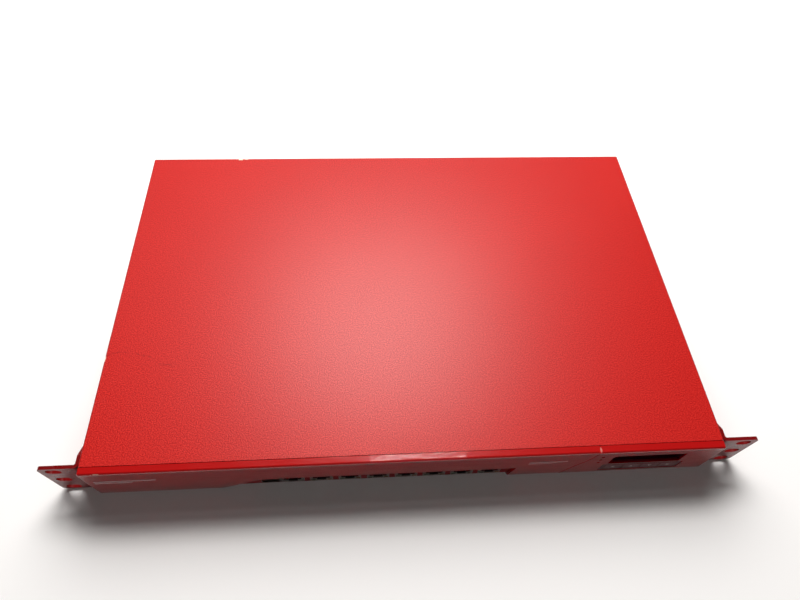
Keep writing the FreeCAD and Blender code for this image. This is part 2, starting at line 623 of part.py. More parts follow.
# ---------------------------------------------------------------- controls
def key_strip():
    """Thin label with a hole round each key."""
    depth = f"{FRONT} + zone_step - strip_thickness"
    plate = block("strip_plate", "strip_right - strip_left", "strip_thickness", "strip_height",
                  ("strip_left", depth, "strip_foot"))
    holes = [middle_block(f"strip_hole_{i}", "key_width + 2 * key_gap", "1", "key_height + 2 * key_gap",
                          (f"key_first + {i} * key_pitch", f"{depth} - 0.5", "key_foot - key_gap"))
             for i in range(len(KEYS))]
    subpart(cut("strip_cut", plate, holes), "key_strip")


def key(index, name):
    """Key cap with a lip above and below behind the bezel, and a stem to its switch."""
    x = f"key_first + {index} * key_pitch"
    cap = middle_block(f"key_{name}_cap", "key_width", "key_flange_depth + key_flange - key_face",
                       "key_height", (x, f"{FRONT} + key_face", "key_foot"))
    lip = middle_block(f"key_{name}_lip", "key_width", "key_flange", "key_height + 2 * key_flange_lip",
                       (x, f"{FRONT} + key_flange_depth", "key_foot - key_flange_lip"))
    stem = middle_block(f"key_{name}_stem", "key_stem", "key_stem_end - key_flange_depth", "key_stem",
                        (x, f"{FRONT} + key_flange_depth", "key_foot + key_height / 2 - key_stem / 2"))
    whole = joined(f"key_{name}_whole", [cap, lip, stem])
    soft = rounded(f"key_{name}_soft", whole, "key_edge",
                   lambda e: edge_box(e)[0].y < front_y + size["key_face"] + 0.01)
    subpart(soft, f"key_{name}")


def key_switches():
    made = [middle_block(f"key_switch_{i}", "switch_side", f"{CONTROL_BOARD_DEPTH} - switch_top",
                         "switch_side", (f"key_first + {i} * key_pitch", f"{FRONT} + switch_top",
                                         "key_foot + key_height / 2 - switch_side / 2"))
            for i in range(len(KEYS))]
    subpart(grouped("key_switch_group", made), "key_switches")


def lamp_lens(index):
    """Light pipe from its lamp on the control board to the bezel's face."""
    at = ("lamp_x", f"{FRONT} + lamp_face", f"lamp_first + {index} * lamp_pitch")
    length = f"{CONTROL_BOARD_DEPTH} - lamp_face - window_gap"
    pipe = rod(f"lamp_pipe_{index}", "lamp_radius", length, at, "y")
    collar = rod(f"lamp_collar_{index}", "lamp_flange_radius", "key_flange",
                 (at[0], f"{FRONT} + key_flange_depth", at[2]), "y")
    subpart(joined(f"lamp_lens_whole_{index}", [pipe, collar]), f"lamp_lens_{index + 1}")


def display():
    """Clear window, display module and the control board that carries it."""
    window = block("window_plate", "window_width + 2 * window_lap", "window_thickness",
                   "window_height + 2 * window_lap",
                   ("window_left - window_lap", f"{FRONT} + collar_depth + window_gap",
                    "window_foot - window_lap"))
    subpart(window, "display_window")
    middle = "window_left + window_width / 2"
    frame = middle_block("module_block", "module_width", "module_thickness", "module_height",
                         (middle, f"{FRONT} + module_depth", "module_foot"))
    inset = middle_block("module_inset", "window_width + window_lap", "2 * glass_inset",
                         "window_height + window_lap / 2",
                         (middle, f"{FRONT} + module_depth - glass_inset", "window_foot - window_lap / 4"))
    subpart(cut("module_cut", frame, [inset]), "display_module")
    board = block("control_plate", "control_right - control_left", "control_board", "control_height",
                  ("control_left", f"{FRONT} + {CONTROL_BOARD_DEPTH}", "control_foot"))
    subpart(board, "control_board")


# ---------------------------------------------------------------- ports
def jack_places():
    """The console socket, then the network sockets, as expressions of their middles in X."""
    return ["console_x"] + [f"first_port + {i} * port_pitch" for i in range(PORT_COUNT)]


def plug_cutters(name, x, grow="0"):
    """Room for a plug and, below it, for the plug's latch."""
    depth = f"{FRONT} + port_face - 1"
    room = middle_block(f"{name}_plug", f"plug_width + 2 * ({grow})", "plug_length + 1",
                        f"plug_height + ({grow})", (x, depth, "board_top + plug_foot"))
    latch = middle_block(f"{name}_latch", f"latch_width + 2 * ({grow})", "plug_length + 1",
                         f"latch_height + 1 + ({grow})",
                         (x, depth, f"board_top + plug_foot - latch_height - ({grow})"))
    return [room, latch]


def jack(label, x):
    """Moulded body of a modular socket."""
    body = middle_block(f"{label}_block", "jack_width - 2 * shield_sheet - 2 * jack_play",
                        "jack_length - 2 * shield_sheet - 2 * jack_play",
                        "jack_height - shield_sheet - 2 * jack_play",
                        (x, f"{FRONT} + port_face + shield_sheet + jack_play", "board_top + jack_play"))
    subpart(cut(f"{label}_cut", body, plug_cutters(label, x)), label)


def port_shields():
    """Folded shields round the modular sockets, open below and at their mouths."""
    made = []
    for i, x in enumerate(jack_places()):
        shell = middle_block(f"shield_{i}", "jack_width", "jack_length", "jack_height - jack_play",
                             (x, f"{FRONT} + port_face", "board_top + jack_play"))
        hollow = middle_block(f"shield_hollow_{i}", "jack_width - 2 * shield_sheet",
                              "jack_length - 2 * shield_sheet", "jack_height - shield_sheet",
                              (x, f"{FRONT} + port_face + shield_sheet", "board_top"))
        mouth = plug_cutters(f"shield_{i}", x, "0.2")
        made.append(cut(f"shield_cut_{i}", shell, [hollow] + mouth))
    subpart(grouped("shield_group", made), "port_shields")


def usb_ports():
    """Two stacked sockets in one housing."""
    body = middle_block("usb_block", "usb_width", "usb_length", "usb_height - jack_play",
                        ("usb_x", f"{FRONT} + port_face", "board_top + jack_play"))
    slots = [middle_block(f"usb_slot_{i}", "usb_slot_width", "usb_slot_length + 1", "usb_slot_height",
                          ("usb_x", f"{FRONT} + port_face - 1",
                           f"board_top + usb_wall + {i} * (usb_slot_height + usb_wall)"))
             for i in range(2)]
    subpart(cut("usb_cut", body, slots), "usb_ports")


# ---------------------------------------------------------------- main board
def main_board():
    plate = block("board_plate", "board_width", "board_length", "board_thickness",
                  ("board_left", BOARD_Y, "board_top - board_thickness"))
    spots = [((x, y, size["board_top"]), (0, 0, -1)) for x, y in BOARD_HOLES]
    subpart(cut("board_cut", plate, [screw_holes("board_holes", spots)]), "main_board")
    height = "board_top - board_thickness - tray_sheet"
    posts = []
    for i, (x, y) in enumerate(BOARD_HOLES, 1):
        post = rod(f"post_{i}", "standoff_radius", height, (x, y, "tray_sheet"))
        bore = rod(f"post_bore_{i}", "screw_radius + screw_play", height, (x, y, "tray_sheet + post_floor"))
        posts.append(cut(f"post_cut_{i}", post, [bore]))
    subpart(grouped("post_group", posts), "board_standoffs")
    screw_set("board_screws", size["board_screw"], spots)


def finned_sink(label, x, depth, side, base, tall, foot):
    """Extruded cooler: a base and upright fins that run from front to back."""
    parts = [middle_block(f"{label}_base", side, side, base, (x, f"{depth} - ({side}) / 2", foot))]
    doc.recompute()
    across = parts[0].Length.Value
    count = int((across - size["fin_thickness"]) // size["fin_pitch"]) + 1
    spread = (count - 1) * size["fin_pitch"]
    for i in range(count):
        parts.append(middle_block(f"{label}_fin_{i}", "fin_thickness", side, tall,
                                  (f"{x} + {i} * fin_pitch - {spread / 2}", f"{depth} - ({side}) / 2", foot)))
    return joined(f"{label}_whole", parts)


def processor():
    at_y = f"{FRONT} + chip_depth"
    chip = middle_block("chip_block", "chip_side", "chip_side", "chip_height",
                        ("chip_x", f"{at_y} - chip_side / 2", "board_top"))
    subpart(chip, "processor")
    sink = finned_sink("sink", "chip_x", at_y, "sink_side", "sink_base", "sink_height",
                       "board_top + chip_height")
    reach = size["sink_side"] / 2 - size["sink_screw_inset"]
    seat = size["board_top"] + size["chip_height"] + size["sink_base"]
    spots = [((size["chip_x"] + dx, front_y + size["chip_depth"] + dy, seat), (0, 0, -1))
             for dx in (-reach, reach) for dy in (-reach, reach)]
    wells = [rod(f"sink_well_{i}", "head_radius + driver_room", "sink_height", (x, y, seat))
             for i, ((x, y, _), _) in enumerate(spots)]
    subpart(cut("sink_cut", sink, [screw_holes("sink_holes", spots)] + wells), "processor_heatsink")
    screw_set("heatsink_screws", size["sink_screw"], spots)
    small = finned_sink("small_sink", "chipset_x", f"{FRONT} + chipset_depth", "chipset_side", "chip_height",
                        "chipset_height", "board_top")
    subpart(small, "chipset_heatsink")


def memory():
    """Upright memory module in its socket."""
    foot = "board_top"
    body = middle_block("socket_block", "socket_length", "socket_width", "socket_height",
                        ("socket_x", f"{FRONT} + socket_depth - socket_width / 2", foot))
    groove = middle_block("socket_groove", "module_length + 2 * screw_play", "module_board + 2 * screw_play",
                          "socket_height",
                          ("socket_x", f"{FRONT} + socket_depth - module_board / 2 - screw_play",
                           f"{foot} + module_seat"))
    subpart(cut("socket_cut", body, [groove]), "memory_socket")
    card = middle_block("memory_card", "module_length", "module_board", "module_rise",
                        ("socket_x", f"{FRONT} + socket_depth - module_board / 2", f"{foot} + module_seat"))
    chips = [middle_block(f"memory_chip_{i}", "memory_chip_width", "memory_chip_height",
                          "memory_chip_length",
                          (f"socket_x + ({i} - 3.5) * memory_chip_pitch",
                           f"{FRONT} + socket_depth - module_board / 2 - memory_chip_height",
                           f"{foot} + memory_chip_foot"))
             for i in range(8)]
    subpart(joined("memory_whole", [card] + chips), "memory_module")


def small_board_parts():
    """Storage module, clock battery, capacitors and the ports' transformers."""
    storage = middle_block("storage_block", "storage_length", "storage_width", "storage_height",
                           ("storage_x", f"{FRONT} + storage_depth", "board_top"))
    subpart(storage, "storage_module")
    at_y = f"{FRONT} + cell_depth"
    cup = rod("holder_cup", "holder_radius", "holder_height", ("cell_x", at_y, "board_top"))
    hollow = rod("holder_hollow", "cell_radius + screw_play", "holder_height",
                 ("cell_x", at_y, "board_top + holder_floor"))
    subpart(cut("holder_cut", cup, [hollow]), "cell_holder")
    subpart(rod("cell_disc", "cell_radius", "cell_thickness",
                ("cell_x", at_y, "board_top + holder_floor")), "coin_cell")
    cans = [rod(f"can_{i}", "capacitor_radius", "capacitor_height",
                (f"capacitor_x + {i % 2} * capacitor_radius",
                 f"{FRONT} + capacitor_depth + {i} * capacitor_pitch", "board_top")) for i in range(7)]
    subpart(grouped("can_group", cans), "board_capacitors")
    chips = [middle_block(f"network_{i}", "network_width", "network_length", "network_height",
                          (f"first_port + {i} * port_pitch", f"{FRONT} + network_depth", "board_top"))
             for i in range(PORT_COUNT)]
    subpart(grouped("network_group", chips), "network_transformers")


# ---------------------------------------------------------------- power supply
def power_supply():
    """Sheet case in the right rear corner, its lid, and what it holds."""
    front = f"{WALL} - supply_length"
    case = block("supply_block", "supply_width", "supply_length",
                 "supply_height - supply_sheet - cover_play", (SUPPLY_LEFT, front, "supply_foot"))
    room = block("supply_room", "supply_width - 2 * supply_sheet", "supply_length - 2 * supply_sheet",
                 "supply_height", (f"{SUPPLY_LEFT} + supply_sheet", f"{front} + supply_sheet",
                                   "supply_foot + supply_sheet"))
    inlet_gap = middle_block("supply_inlet_gap", "inlet_body_width + 0.2", "6", "inlet_body_height + 0.2",
                             ("inlet_x", f"{WALL} - 3",
                              "inlet_foot + inlet_height / 2 - inlet_body_height / 2 - 0.1"))
    switch_gap = middle_block("supply_switch_gap", "switch_body_width + 0.2", "6",
                              "switch_body_height + 0.2",
                              ("inlet_x", f"{WALL} - 3",
                               "switch_foot + switch_height / 2 - switch_body_height / 2 - 0.1"))
    grille = ring_grille("supply_grille", size["supply_fan_x"], supply_fan_middle(), wall_y - 3, wall_y + 3)
    slots = feature("supply_slots", Part.makeCompound(
        [slot_cutter(Vector(supply_left + size["supply_vent_first"] + step * size["supply_vent_pitch"],
                            wall_y - size["supply_length"], size["supply_vent_height"]),
                     Vector(0, 0, 1), size["vent_length"], size["vent_radius"], Vector(0, 1, 0),
                     size["vent_reach"]) for step in range(int(size["supply_vent_count"]))]))
    leads = [rod(f"supply_lead_gap_{i}", "lead_radius + 0.3", "6",
                 (f"{SUPPLY_LEFT} + lead_inset", f"{front} - 3", f"lead_height + {i - 1} * lead_pitch"), "y")
             for i in range(3)]
    subpart(cut("supply_case_cut", case, [room, inlet_gap, switch_gap, grille, slots] + leads), "supply_case")

    plate = block("supply_lid", "supply_width", "supply_length", "supply_sheet",
                  (SUPPLY_LEFT, front, "supply_foot + supply_height - supply_sheet"))
    inset = "(supply_sheet + cover_play)"
    flanges = [block(f"supply_lid_flange_{i}", "supply_sheet", "supply_length - 60", "supply_flange",
                     (x, f"{front} + 30", "supply_foot + supply_height - supply_flange"))
               for i, x in enumerate((f"{SUPPLY_LEFT} + {inset}",
                                      f"supply_right - {inset} - supply_sheet"))]
    subpart(joined("supply_lid_whole", [plate] + flanges), "supply_cover")

    floor = "supply_foot + supply_sheet"
    board = block("supply_board_plate", "supply_width - 4 * supply_sheet", "supply_board_length",
                  "board_thickness", (f"{SUPPLY_LEFT} + 2 * supply_sheet", f"{front} + supply_board_rise",
                                      f"{floor} + supply_board_rise"))
    feet = [rod(f"supply_board_foot_{i}", "standoff_radius", "supply_board_rise + post_floor",
                (f"{SUPPLY_LEFT} + supply_width / 2 + {dx} * (supply_width / 2 - supply_foot_inset)",
                 f"{front} + supply_board_length / 2 + {dy} * (supply_board_length / 2 - supply_foot_inset)",
                 floor))
            for i, (dx, dy) in enumerate([(-1, -1), (1, -1), (-1, 1), (1, 1)])]
    core = block("core_block", "transformer_side", "transformer_side", "transformer_height",
                 (f"{SUPPLY_LEFT} + transformer_inset", f"{front} + transformer_inset",
                  f"{floor} + supply_board_rise"))
    subpart(joined("supply_board_whole", [board, core] + feet), "supply_board")


def supply_fan_middle():
    return size["supply_foot"] + size["supply_sheet"] + 0.2 + size["fan_side"] / 2


def power_inlet():
    """Mains inlet: flange, body, hollow for the plug, and three blades."""
    middle = "inlet_foot + inlet_height / 2"
    flange = middle_block("inlet_flange_block", "inlet_width", f"total_depth / 2 - {WALL}", "inlet_height",
                          ("inlet_x", WALL, "inlet_foot"))
    body = middle_block("inlet_body_block", "inlet_body_width", "inlet_body", "inlet_body_height",
                        ("inlet_x", f"{WALL} - inlet_body", f"{middle} - inlet_body_height / 2"))
    hollow = middle_block("inlet_hollow", "inlet_hole_width", "inlet_hole_length + 1",
                          "inlet_hole_height",
                          ("inlet_x", "total_depth / 2 - inlet_hole_length",
                           f"{middle} - inlet_hole_height / 2"))
    shaped = rounded("inlet_hollow_shaped", hollow, "inlet_corner",
                     lambda e: runs(e, "y") and edge_box(e)[0].z > 20)
    shell = cut("inlet_shell", joined("inlet_solid", [flange, body]), [shaped])
    blades = []
    for i, (dx, dz) in enumerate(((-1, -1), (0, 1), (1, -1))):
        blades.append(middle_block(f"inlet_blade_{i}", "blade_width", "blade_length + 1", "blade_height",
                                   (f"inlet_x + {dx} * blade_spread",
                                    "total_depth / 2 - inlet_hole_length - 1",
                                    f"{middle} + {dz} * blade_offset - blade_height / 2")))
    subpart(joined("inlet_whole", [shell] + blades), "power_inlet")


def power_switch():
    """Switch housing with its rocker on two pivot pins."""
    middle = "switch_foot + switch_height / 2"
    pivot_y = "total_depth / 2 - pivot_inset"
    flange = middle_block("switch_flange_block", "switch_width", "switch_flange", "switch_height",
                          ("inlet_x", WALL, "switch_foot"))
    body = middle_block("switch_body_block", "switch_body_width", "switch_body", "switch_body_height",
                        ("inlet_x", f"{WALL} - switch_body", f"{middle} - switch_body_height / 2"))
    well = middle_block("switch_well", "switch_hole_width", "switch_hole_length + 1", "switch_hole_height",
                        ("inlet_x", f"{WALL} + switch_flange - switch_hole_length",
                         f"{middle} - switch_hole_height / 2"))
    bore = rod("switch_pivot_bore", "pivot_radius + shaft_play", "switch_hole_height + 1",
               ("inlet_x", pivot_y, f"{middle} - switch_hole_height / 2 - 0.5"))
    subpart(cut("switch_cut", joined("switch_solid", [flange, body]), [well, bore]), "switch_housing")

    half = size["rocker_length"] / 2
    rise = size["rocker_rise"]
    dip = rise - size["rocker_dish"]
    thick = size["rocker_thickness"]
    drop = size["rocker_drop"]
    rim = Part.makePolygon([Vector(-half, rise, 0), Vector(0, dip, 0), Vector(half, rise, 0),
                            Vector(half, -1, 0), Vector(2.5, -drop, 0), Vector(-2.5, -drop, 0),
                            Vector(-half, -1, 0), Vector(-half, rise, 0)])
    solid = Part.Face(rim).extrude(Vector(0, 0, thick))
    soft = solid.makeFillet(0.5, [e for e in solid.Edges if e.BoundBox.ZLength < 0.01
                                  and e.BoundBox.Center.y > dip * 0.9])
    pin = size["switch_hole_height"] + 0.8
    pins = Part.makeCylinder(size["pivot_radius"], pin, Vector(0, 0, (thick - pin) / 2))
    rocker = feature("rocker_solid", soft.fuse(pins))
    rocker.Placement = Placement(Vector(), Rotation(Vector(0, 0, 1), size["rocker_tilt"]))
    place(rocker, ("inlet_x", pivot_y, f"{middle} - rocker_thickness / 2"))
    subpart(rocker, "power_rocker")


# ---------------------------------------------------------------- fans
def fan(label, x, z):
    """Square frame with its motor base, and a bladed rotor on a shaft; air leaves to the rear."""
    rear = f"{WALL} - window_gap"
    if label == "supply_fan":
        rear = f"{WALL} - supply_sheet - window_gap"
    front = f"{rear} - fan_length"
    box = middle_block(f"{label}_box", "fan_side", "fan_length", "fan_side",
                       (x, front, f"{z} - fan_side / 2"))
    bore = rod(f"{label}_bore", "fan_bore", "fan_length + 2", (x, f"{front} - 1", z), "y")
    spread = size["fan_screw_spread"]
    screws = [rod(f"{label}_hole_{i}", "screw_radius + screw_play", "fan_length + 2",
                  (f"{x} + {dx * spread}", f"{front} - 1", f"{z} + {dz * spread}"), "y")
              for i, (dx, dz) in enumerate([(-1, -1), (1, -1), (-1, 1), (1, 1)])]
    duct = cut(f"{label}_duct", box, [bore] + screws)
    base = rod(f"{label}_base", "fan_hub", "fan_base", (x, f"{rear} - fan_base", z), "y")
    struts = [middle_block(f"{label}_strut_{i}", across, "fan_base", tall, (x, f"{rear} - fan_base", foot))
              for i, (across, tall, foot) in enumerate([
                  ("2 * fan_bore + 0.5", "fan_strut", f"{z} - fan_strut / 2"),
                  ("fan_strut", "2 * fan_bore + 0.5", f"{z} - fan_bore - 0.25")])]
    seat = rod(f"{label}_seat", "shaft_radius + shaft_play", "fan_base + 2",
               (x, f"{rear} - fan_base - 1", z), "y")
    subpart(cut(f"{label}_frame_cut", joined(f"{label}_frame_whole", [duct, base] + struts), [seat]),
            f"{label}_frame")
    spinner = feature(f"{label}_rotor_solid", rotor_shape())
    spinner.Placement = Placement()
    place(spinner, (x, f"{rear} - fan_base - fan_axial_gap", z))
    subpart(spinner, f"{label}_rotor")


def rotor_shape():
    """Hub, shaft and twisted blades; the hub's rear face is at Y 0 and the shaft reaches behind it."""
    hub_length = size["fan_length"] - size["fan_base"] - 3 * size["fan_axial_gap"]
    way = Vector(0, 1, 0)
    hub = Part.makeCylinder(size["fan_hub"], hub_length, Vector(0, -hub_length, 0), way)
    nose = [e for e in hub.Edges if e.BoundBox.YMax < -hub_length + 0.01]
    hub = hub.makeFillet(1.5, nose)
    shaft = Part.makeCylinder(size["shaft_radius"], size["fan_base"], Vector(0, -0.5, 0), way)
    shape = hub.fuse(shaft)
    for i in range(int(size["blade_count"])):
        blade = Part.makeLoft([blade_section(size["fan_hub"] - 1.2, 50, 1.4),
                               blade_section(size["fan_tip"], 32, 0.9)], True, True)
        blade.translate(Vector(0, -hub_length / 2, 0))
        blade.rotate(Vector(0, 0, 0), way, 360 * i / size["blade_count"])
        shape = shape.fuse(blade)
    rim = Part.makeCylinder(size["fan_tip"], hub_length, Vector(0, -hub_length, 0), way)
    return shape.common(rim.fuse(shaft)).removeSplitter()


def blade_section(reach, pitch, thickness):
    """A closed four-sided section across a blade, standing at the reach from the axis."""
    half = size["blade_chord"] / 2
    turn = math.radians(pitch)
    along = Vector(0, math.sin(turn), math.cos(turn)) * half
    across = Vector(0, math.cos(turn), -math.sin(turn)) * (thickness / 2)
    middle = Vector(reach, 0, 0)
    corners = [middle + along, middle + across, middle - along, middle - across]
    return Part.makePolygon(corners + corners[:1])


# ---------------------------------------------------------------- leads inside
def leads():
    """Supply leads to the board, the control board's ribbon, and each fan's lead, with their plugs."""
    start_y = wall_y - size["supply_length"] + 1.5
    turn_y = start_y - size["lead_reach"]
    plug_x = size["harness_end"]
    parts = []
    radius = size["lead_bend"]
    for i in range(3):
        z = size["lead_height"] + (i - 1) * size["lead_pitch"]
        x = supply_left + size["lead_inset"]
        corner = Vector(x, turn_y, z)
        bow = radius * (1 - math.sqrt(0.5))
        arc_start = corner + Vector(0, radius, 0)
        arc_end = corner + Vector(-radius, 0, 0)
        path = Part.Wire([Part.LineSegment(Vector(x, start_y, z), arc_start).toShape(),
                          Part.Arc(arc_start, corner + Vector(-bow, bow, 0), arc_end).toShape(),
                          Part.LineSegment(arc_end, Vector(plug_x, turn_y, z)).toShape()])
        ring = Part.Wire(Part.makeCircle(size["lead_radius"], Vector(x, start_y, z), Vector(0, 1, 0)))
        parts.append(path.makePipeShell([ring], True, False))
    plug = Part.makeBox(14, 12, 14, Vector(plug_x - 13, turn_y - 6, size["board_top"] + 0.1))
    subpart(feature("harness_solid", plug.multiFuse(parts).removeSplitter()), "power_harness")

    board_back = front_y + size["module_depth"] + size["module_thickness"] + 0.1 + size["control_board"]
    ribbon = Part.makeBox(44, 1, 9, Vector(86, board_back + 3, 6.4))
    far_plug = Part.makeBox(9, 6, 11, Vector(128, board_back, 5.4))
    near_plug = Part.makeBox(9, 7, 11, Vector(80, board_back, size["board_top"]))
    subpart(feature("ribbon_solid", ribbon.multiFuse([far_plug, near_plug])), "display_ribbon")

    fan_front = wall_y - 0.1 - size["fan_length"]
    board_end = front_y + size["board_depth"] + size["board_length"]
    cables = []
    for i, x in enumerate(fan_places):
        z = size["board_top"] + size["lead_radius"] + 0.2
        start = Vector(x + 16, board_end - 8, z)
        lead = Part.makeCylinder(size["lead_radius"], fan_front - board_end + 8, start, Vector(0, 1, 0))
        plug = Part.makeBox(8, 6, 6, Vector(x + 12, board_end - 14, size["board_top"]))
        cables.append(feature(f"fan_lead_{i}", lead.fuse(plug).removeSplitter()))
    subpart(grouped("fan_lead_group", cables), "fan_leads")


# ---------------------------------------------------------------- assembly
chassis_tray()
top_cover()
front_bezel()
port_panel()
for ear, way in SIDES.items():
    rack_ear(ear, way)
key_strip()
for place_in_row, key_name in enumerate(KEYS):
    key(place_in_row, key_name)
key_switches()
for lamp in range(3):
    lamp_lens(lamp)
display()
jack("console_jack", jack_places()[0])
for number, middle_x in enumerate(jack_places()[1:], start=1):
    jack(f"network_jack_{number}", middle_x)
port_shields()
usb_ports()
main_board()
processor()
memory()
small_board_parts()
power_supply()
power_inlet()
power_switch()
for number, middle_x in enumerate(fan_places, start=1):
    fan(f"fan_{number}", middle_x, fan_middle)
fan("supply_fan", size["supply_fan_x"], supply_fan_middle())
leads()
screw_set("ear_screws", size["ear_screw"], EAR_SCREWS)
screw_set("cover_screws", size["cover_screw"], COVER_SIDE_SCREWS + COVER_REAR_SCREWS)
screw_set("fan_screws", size["fan_screw"], FAN_SCREWS)
doc.recompute()

faults = [f"{item.Name}: {item.State}" for item in doc.Objects
          if "Invalid" in item.State or "Error" in item.State]
for item in subparts:
    if item.Shape.isNull() or not item.Shape.isValid() or not item.Shape.Solids:
        faults.append(f"{item.Label}: shape is missing or not valid")
if faults:
    raise RuntimeError("; ".join(faults))

os.makedirs("parts", exist_ok=True)
for item in subparts:
    item.Shape.exportStep(f"parts/{item.Label}.step")
print(f"{len(subparts)} sub-parts written")
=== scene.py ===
import bmesh
import bpy
import json
import math
import random
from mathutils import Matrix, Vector


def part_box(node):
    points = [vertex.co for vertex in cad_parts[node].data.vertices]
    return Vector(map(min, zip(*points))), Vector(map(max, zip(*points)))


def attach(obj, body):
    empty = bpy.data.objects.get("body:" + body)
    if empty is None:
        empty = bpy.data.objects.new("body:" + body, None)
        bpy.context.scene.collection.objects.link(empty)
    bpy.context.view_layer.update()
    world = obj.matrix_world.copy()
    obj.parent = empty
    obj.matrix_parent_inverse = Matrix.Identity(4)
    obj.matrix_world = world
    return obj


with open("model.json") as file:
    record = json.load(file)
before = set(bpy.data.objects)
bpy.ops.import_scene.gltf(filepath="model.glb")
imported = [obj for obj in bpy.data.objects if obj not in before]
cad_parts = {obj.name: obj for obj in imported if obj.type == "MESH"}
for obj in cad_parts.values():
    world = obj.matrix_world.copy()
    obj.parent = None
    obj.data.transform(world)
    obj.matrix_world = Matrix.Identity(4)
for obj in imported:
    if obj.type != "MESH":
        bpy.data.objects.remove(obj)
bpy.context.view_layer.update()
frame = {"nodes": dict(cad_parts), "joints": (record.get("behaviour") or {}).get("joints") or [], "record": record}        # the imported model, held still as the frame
nodes = frame["nodes"]
mm = 0.001
home = "appliance"       # the body that everything fixed rides on
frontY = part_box("front_bezel")[0].y
print("frame loaded:", len(nodes), "CAD nodes")


# mesh helpers, all in millimetres and turned to metres at the end
def addBox(bm, low, high):
    corners = [bm.verts.new((x, y, z)) for x in (low[0], high[0])
               for y in (low[1], high[1]) for z in (low[2], high[2])]
    for quad in ((0, 1, 3, 2), (4, 6, 7, 5), (0, 4, 5, 1), (2, 3, 7, 6), (0, 2, 6, 4), (1, 5, 7, 3)):
        bm.faces.new([corners[i] for i in quad])


def sweepStrip(bm, path, halfWide, halfThick):
    # a flat strip of wire whose line lies in one Y-Z plane and whose width is along X
    rings = []
    for i, point in enumerate(path):
        before = Vector(path[max(i - 1, 0)])
        after = Vector(path[min(i + 1, len(path) - 1)])
        along = (after - before).normalized()
        up = Vector((0, -along.z, along.y)) * halfThick
        side = Vector((halfWide, 0, 0))
        here = Vector(point)
        rings.append([bm.verts.new(here + a * side + b * up)
                      for a, b in ((-1, -1), (1, -1), (1, 1), (-1, 1))])
    for one, two in zip(rings, rings[1:]):
        for k in range(4):
            bm.faces.new([one[k], one[(k + 1) % 4], two[(k + 1) % 4], two[k]])
    bm.faces.new(rings[0])
    bm.faces.new(list(reversed(rings[-1])))


def extrudeShape(bm, points, near, far):
    # an outline in X-Z, given thickness along Y
    front = [bm.verts.new((x, near, z)) for x, z in points]
    back = [bm.verts.new((x, far, z)) for x, z in points]
    bm.faces.new(front)
    bm.faces.new(list(reversed(back)))
    for i in range(len(points)):
        j = (i + 1) % len(points)
        bm.faces.new([front[i], back[i], back[j], front[j]])


def finishPiece(name, bm, material, body=home, bevel=0.0, segments=2, smooth=True):
    # closes a bmesh into an object that rides on its body
    if bevel:
        sharp = [e for e in bm.edges if len(e.link_faces) == 2 and e.calc_face_angle(0) > 0.6]
        bmesh.ops.bevel(bm, geom=sharp, offset=bevel, segments=segments, profile=0.6, affect="EDGES",
                        clamp_overlap=True)
    bmesh.ops.recalc_face_normals(bm, faces=bm.faces)
    bmesh.ops.scale(bm, vec=(mm, mm, mm), verts=bm.verts)
    mesh = bpy.data.meshes.new(name)
    bm.to_mesh(mesh)
    bm.free()
    for face in mesh.polygons:
        face.use_smooth = smooth
    mesh.set_sharp_from_angle(angle=math.radians(35))
    mesh.materials.append(material)
    piece = bpy.data.objects.new(name, mesh)
    bpy.context.scene.collection.objects.link(piece)
    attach(piece, body)
    return piece


def boxOf(node):
    low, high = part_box(node)
    return Vector(low) / mm, Vector(high) / mm


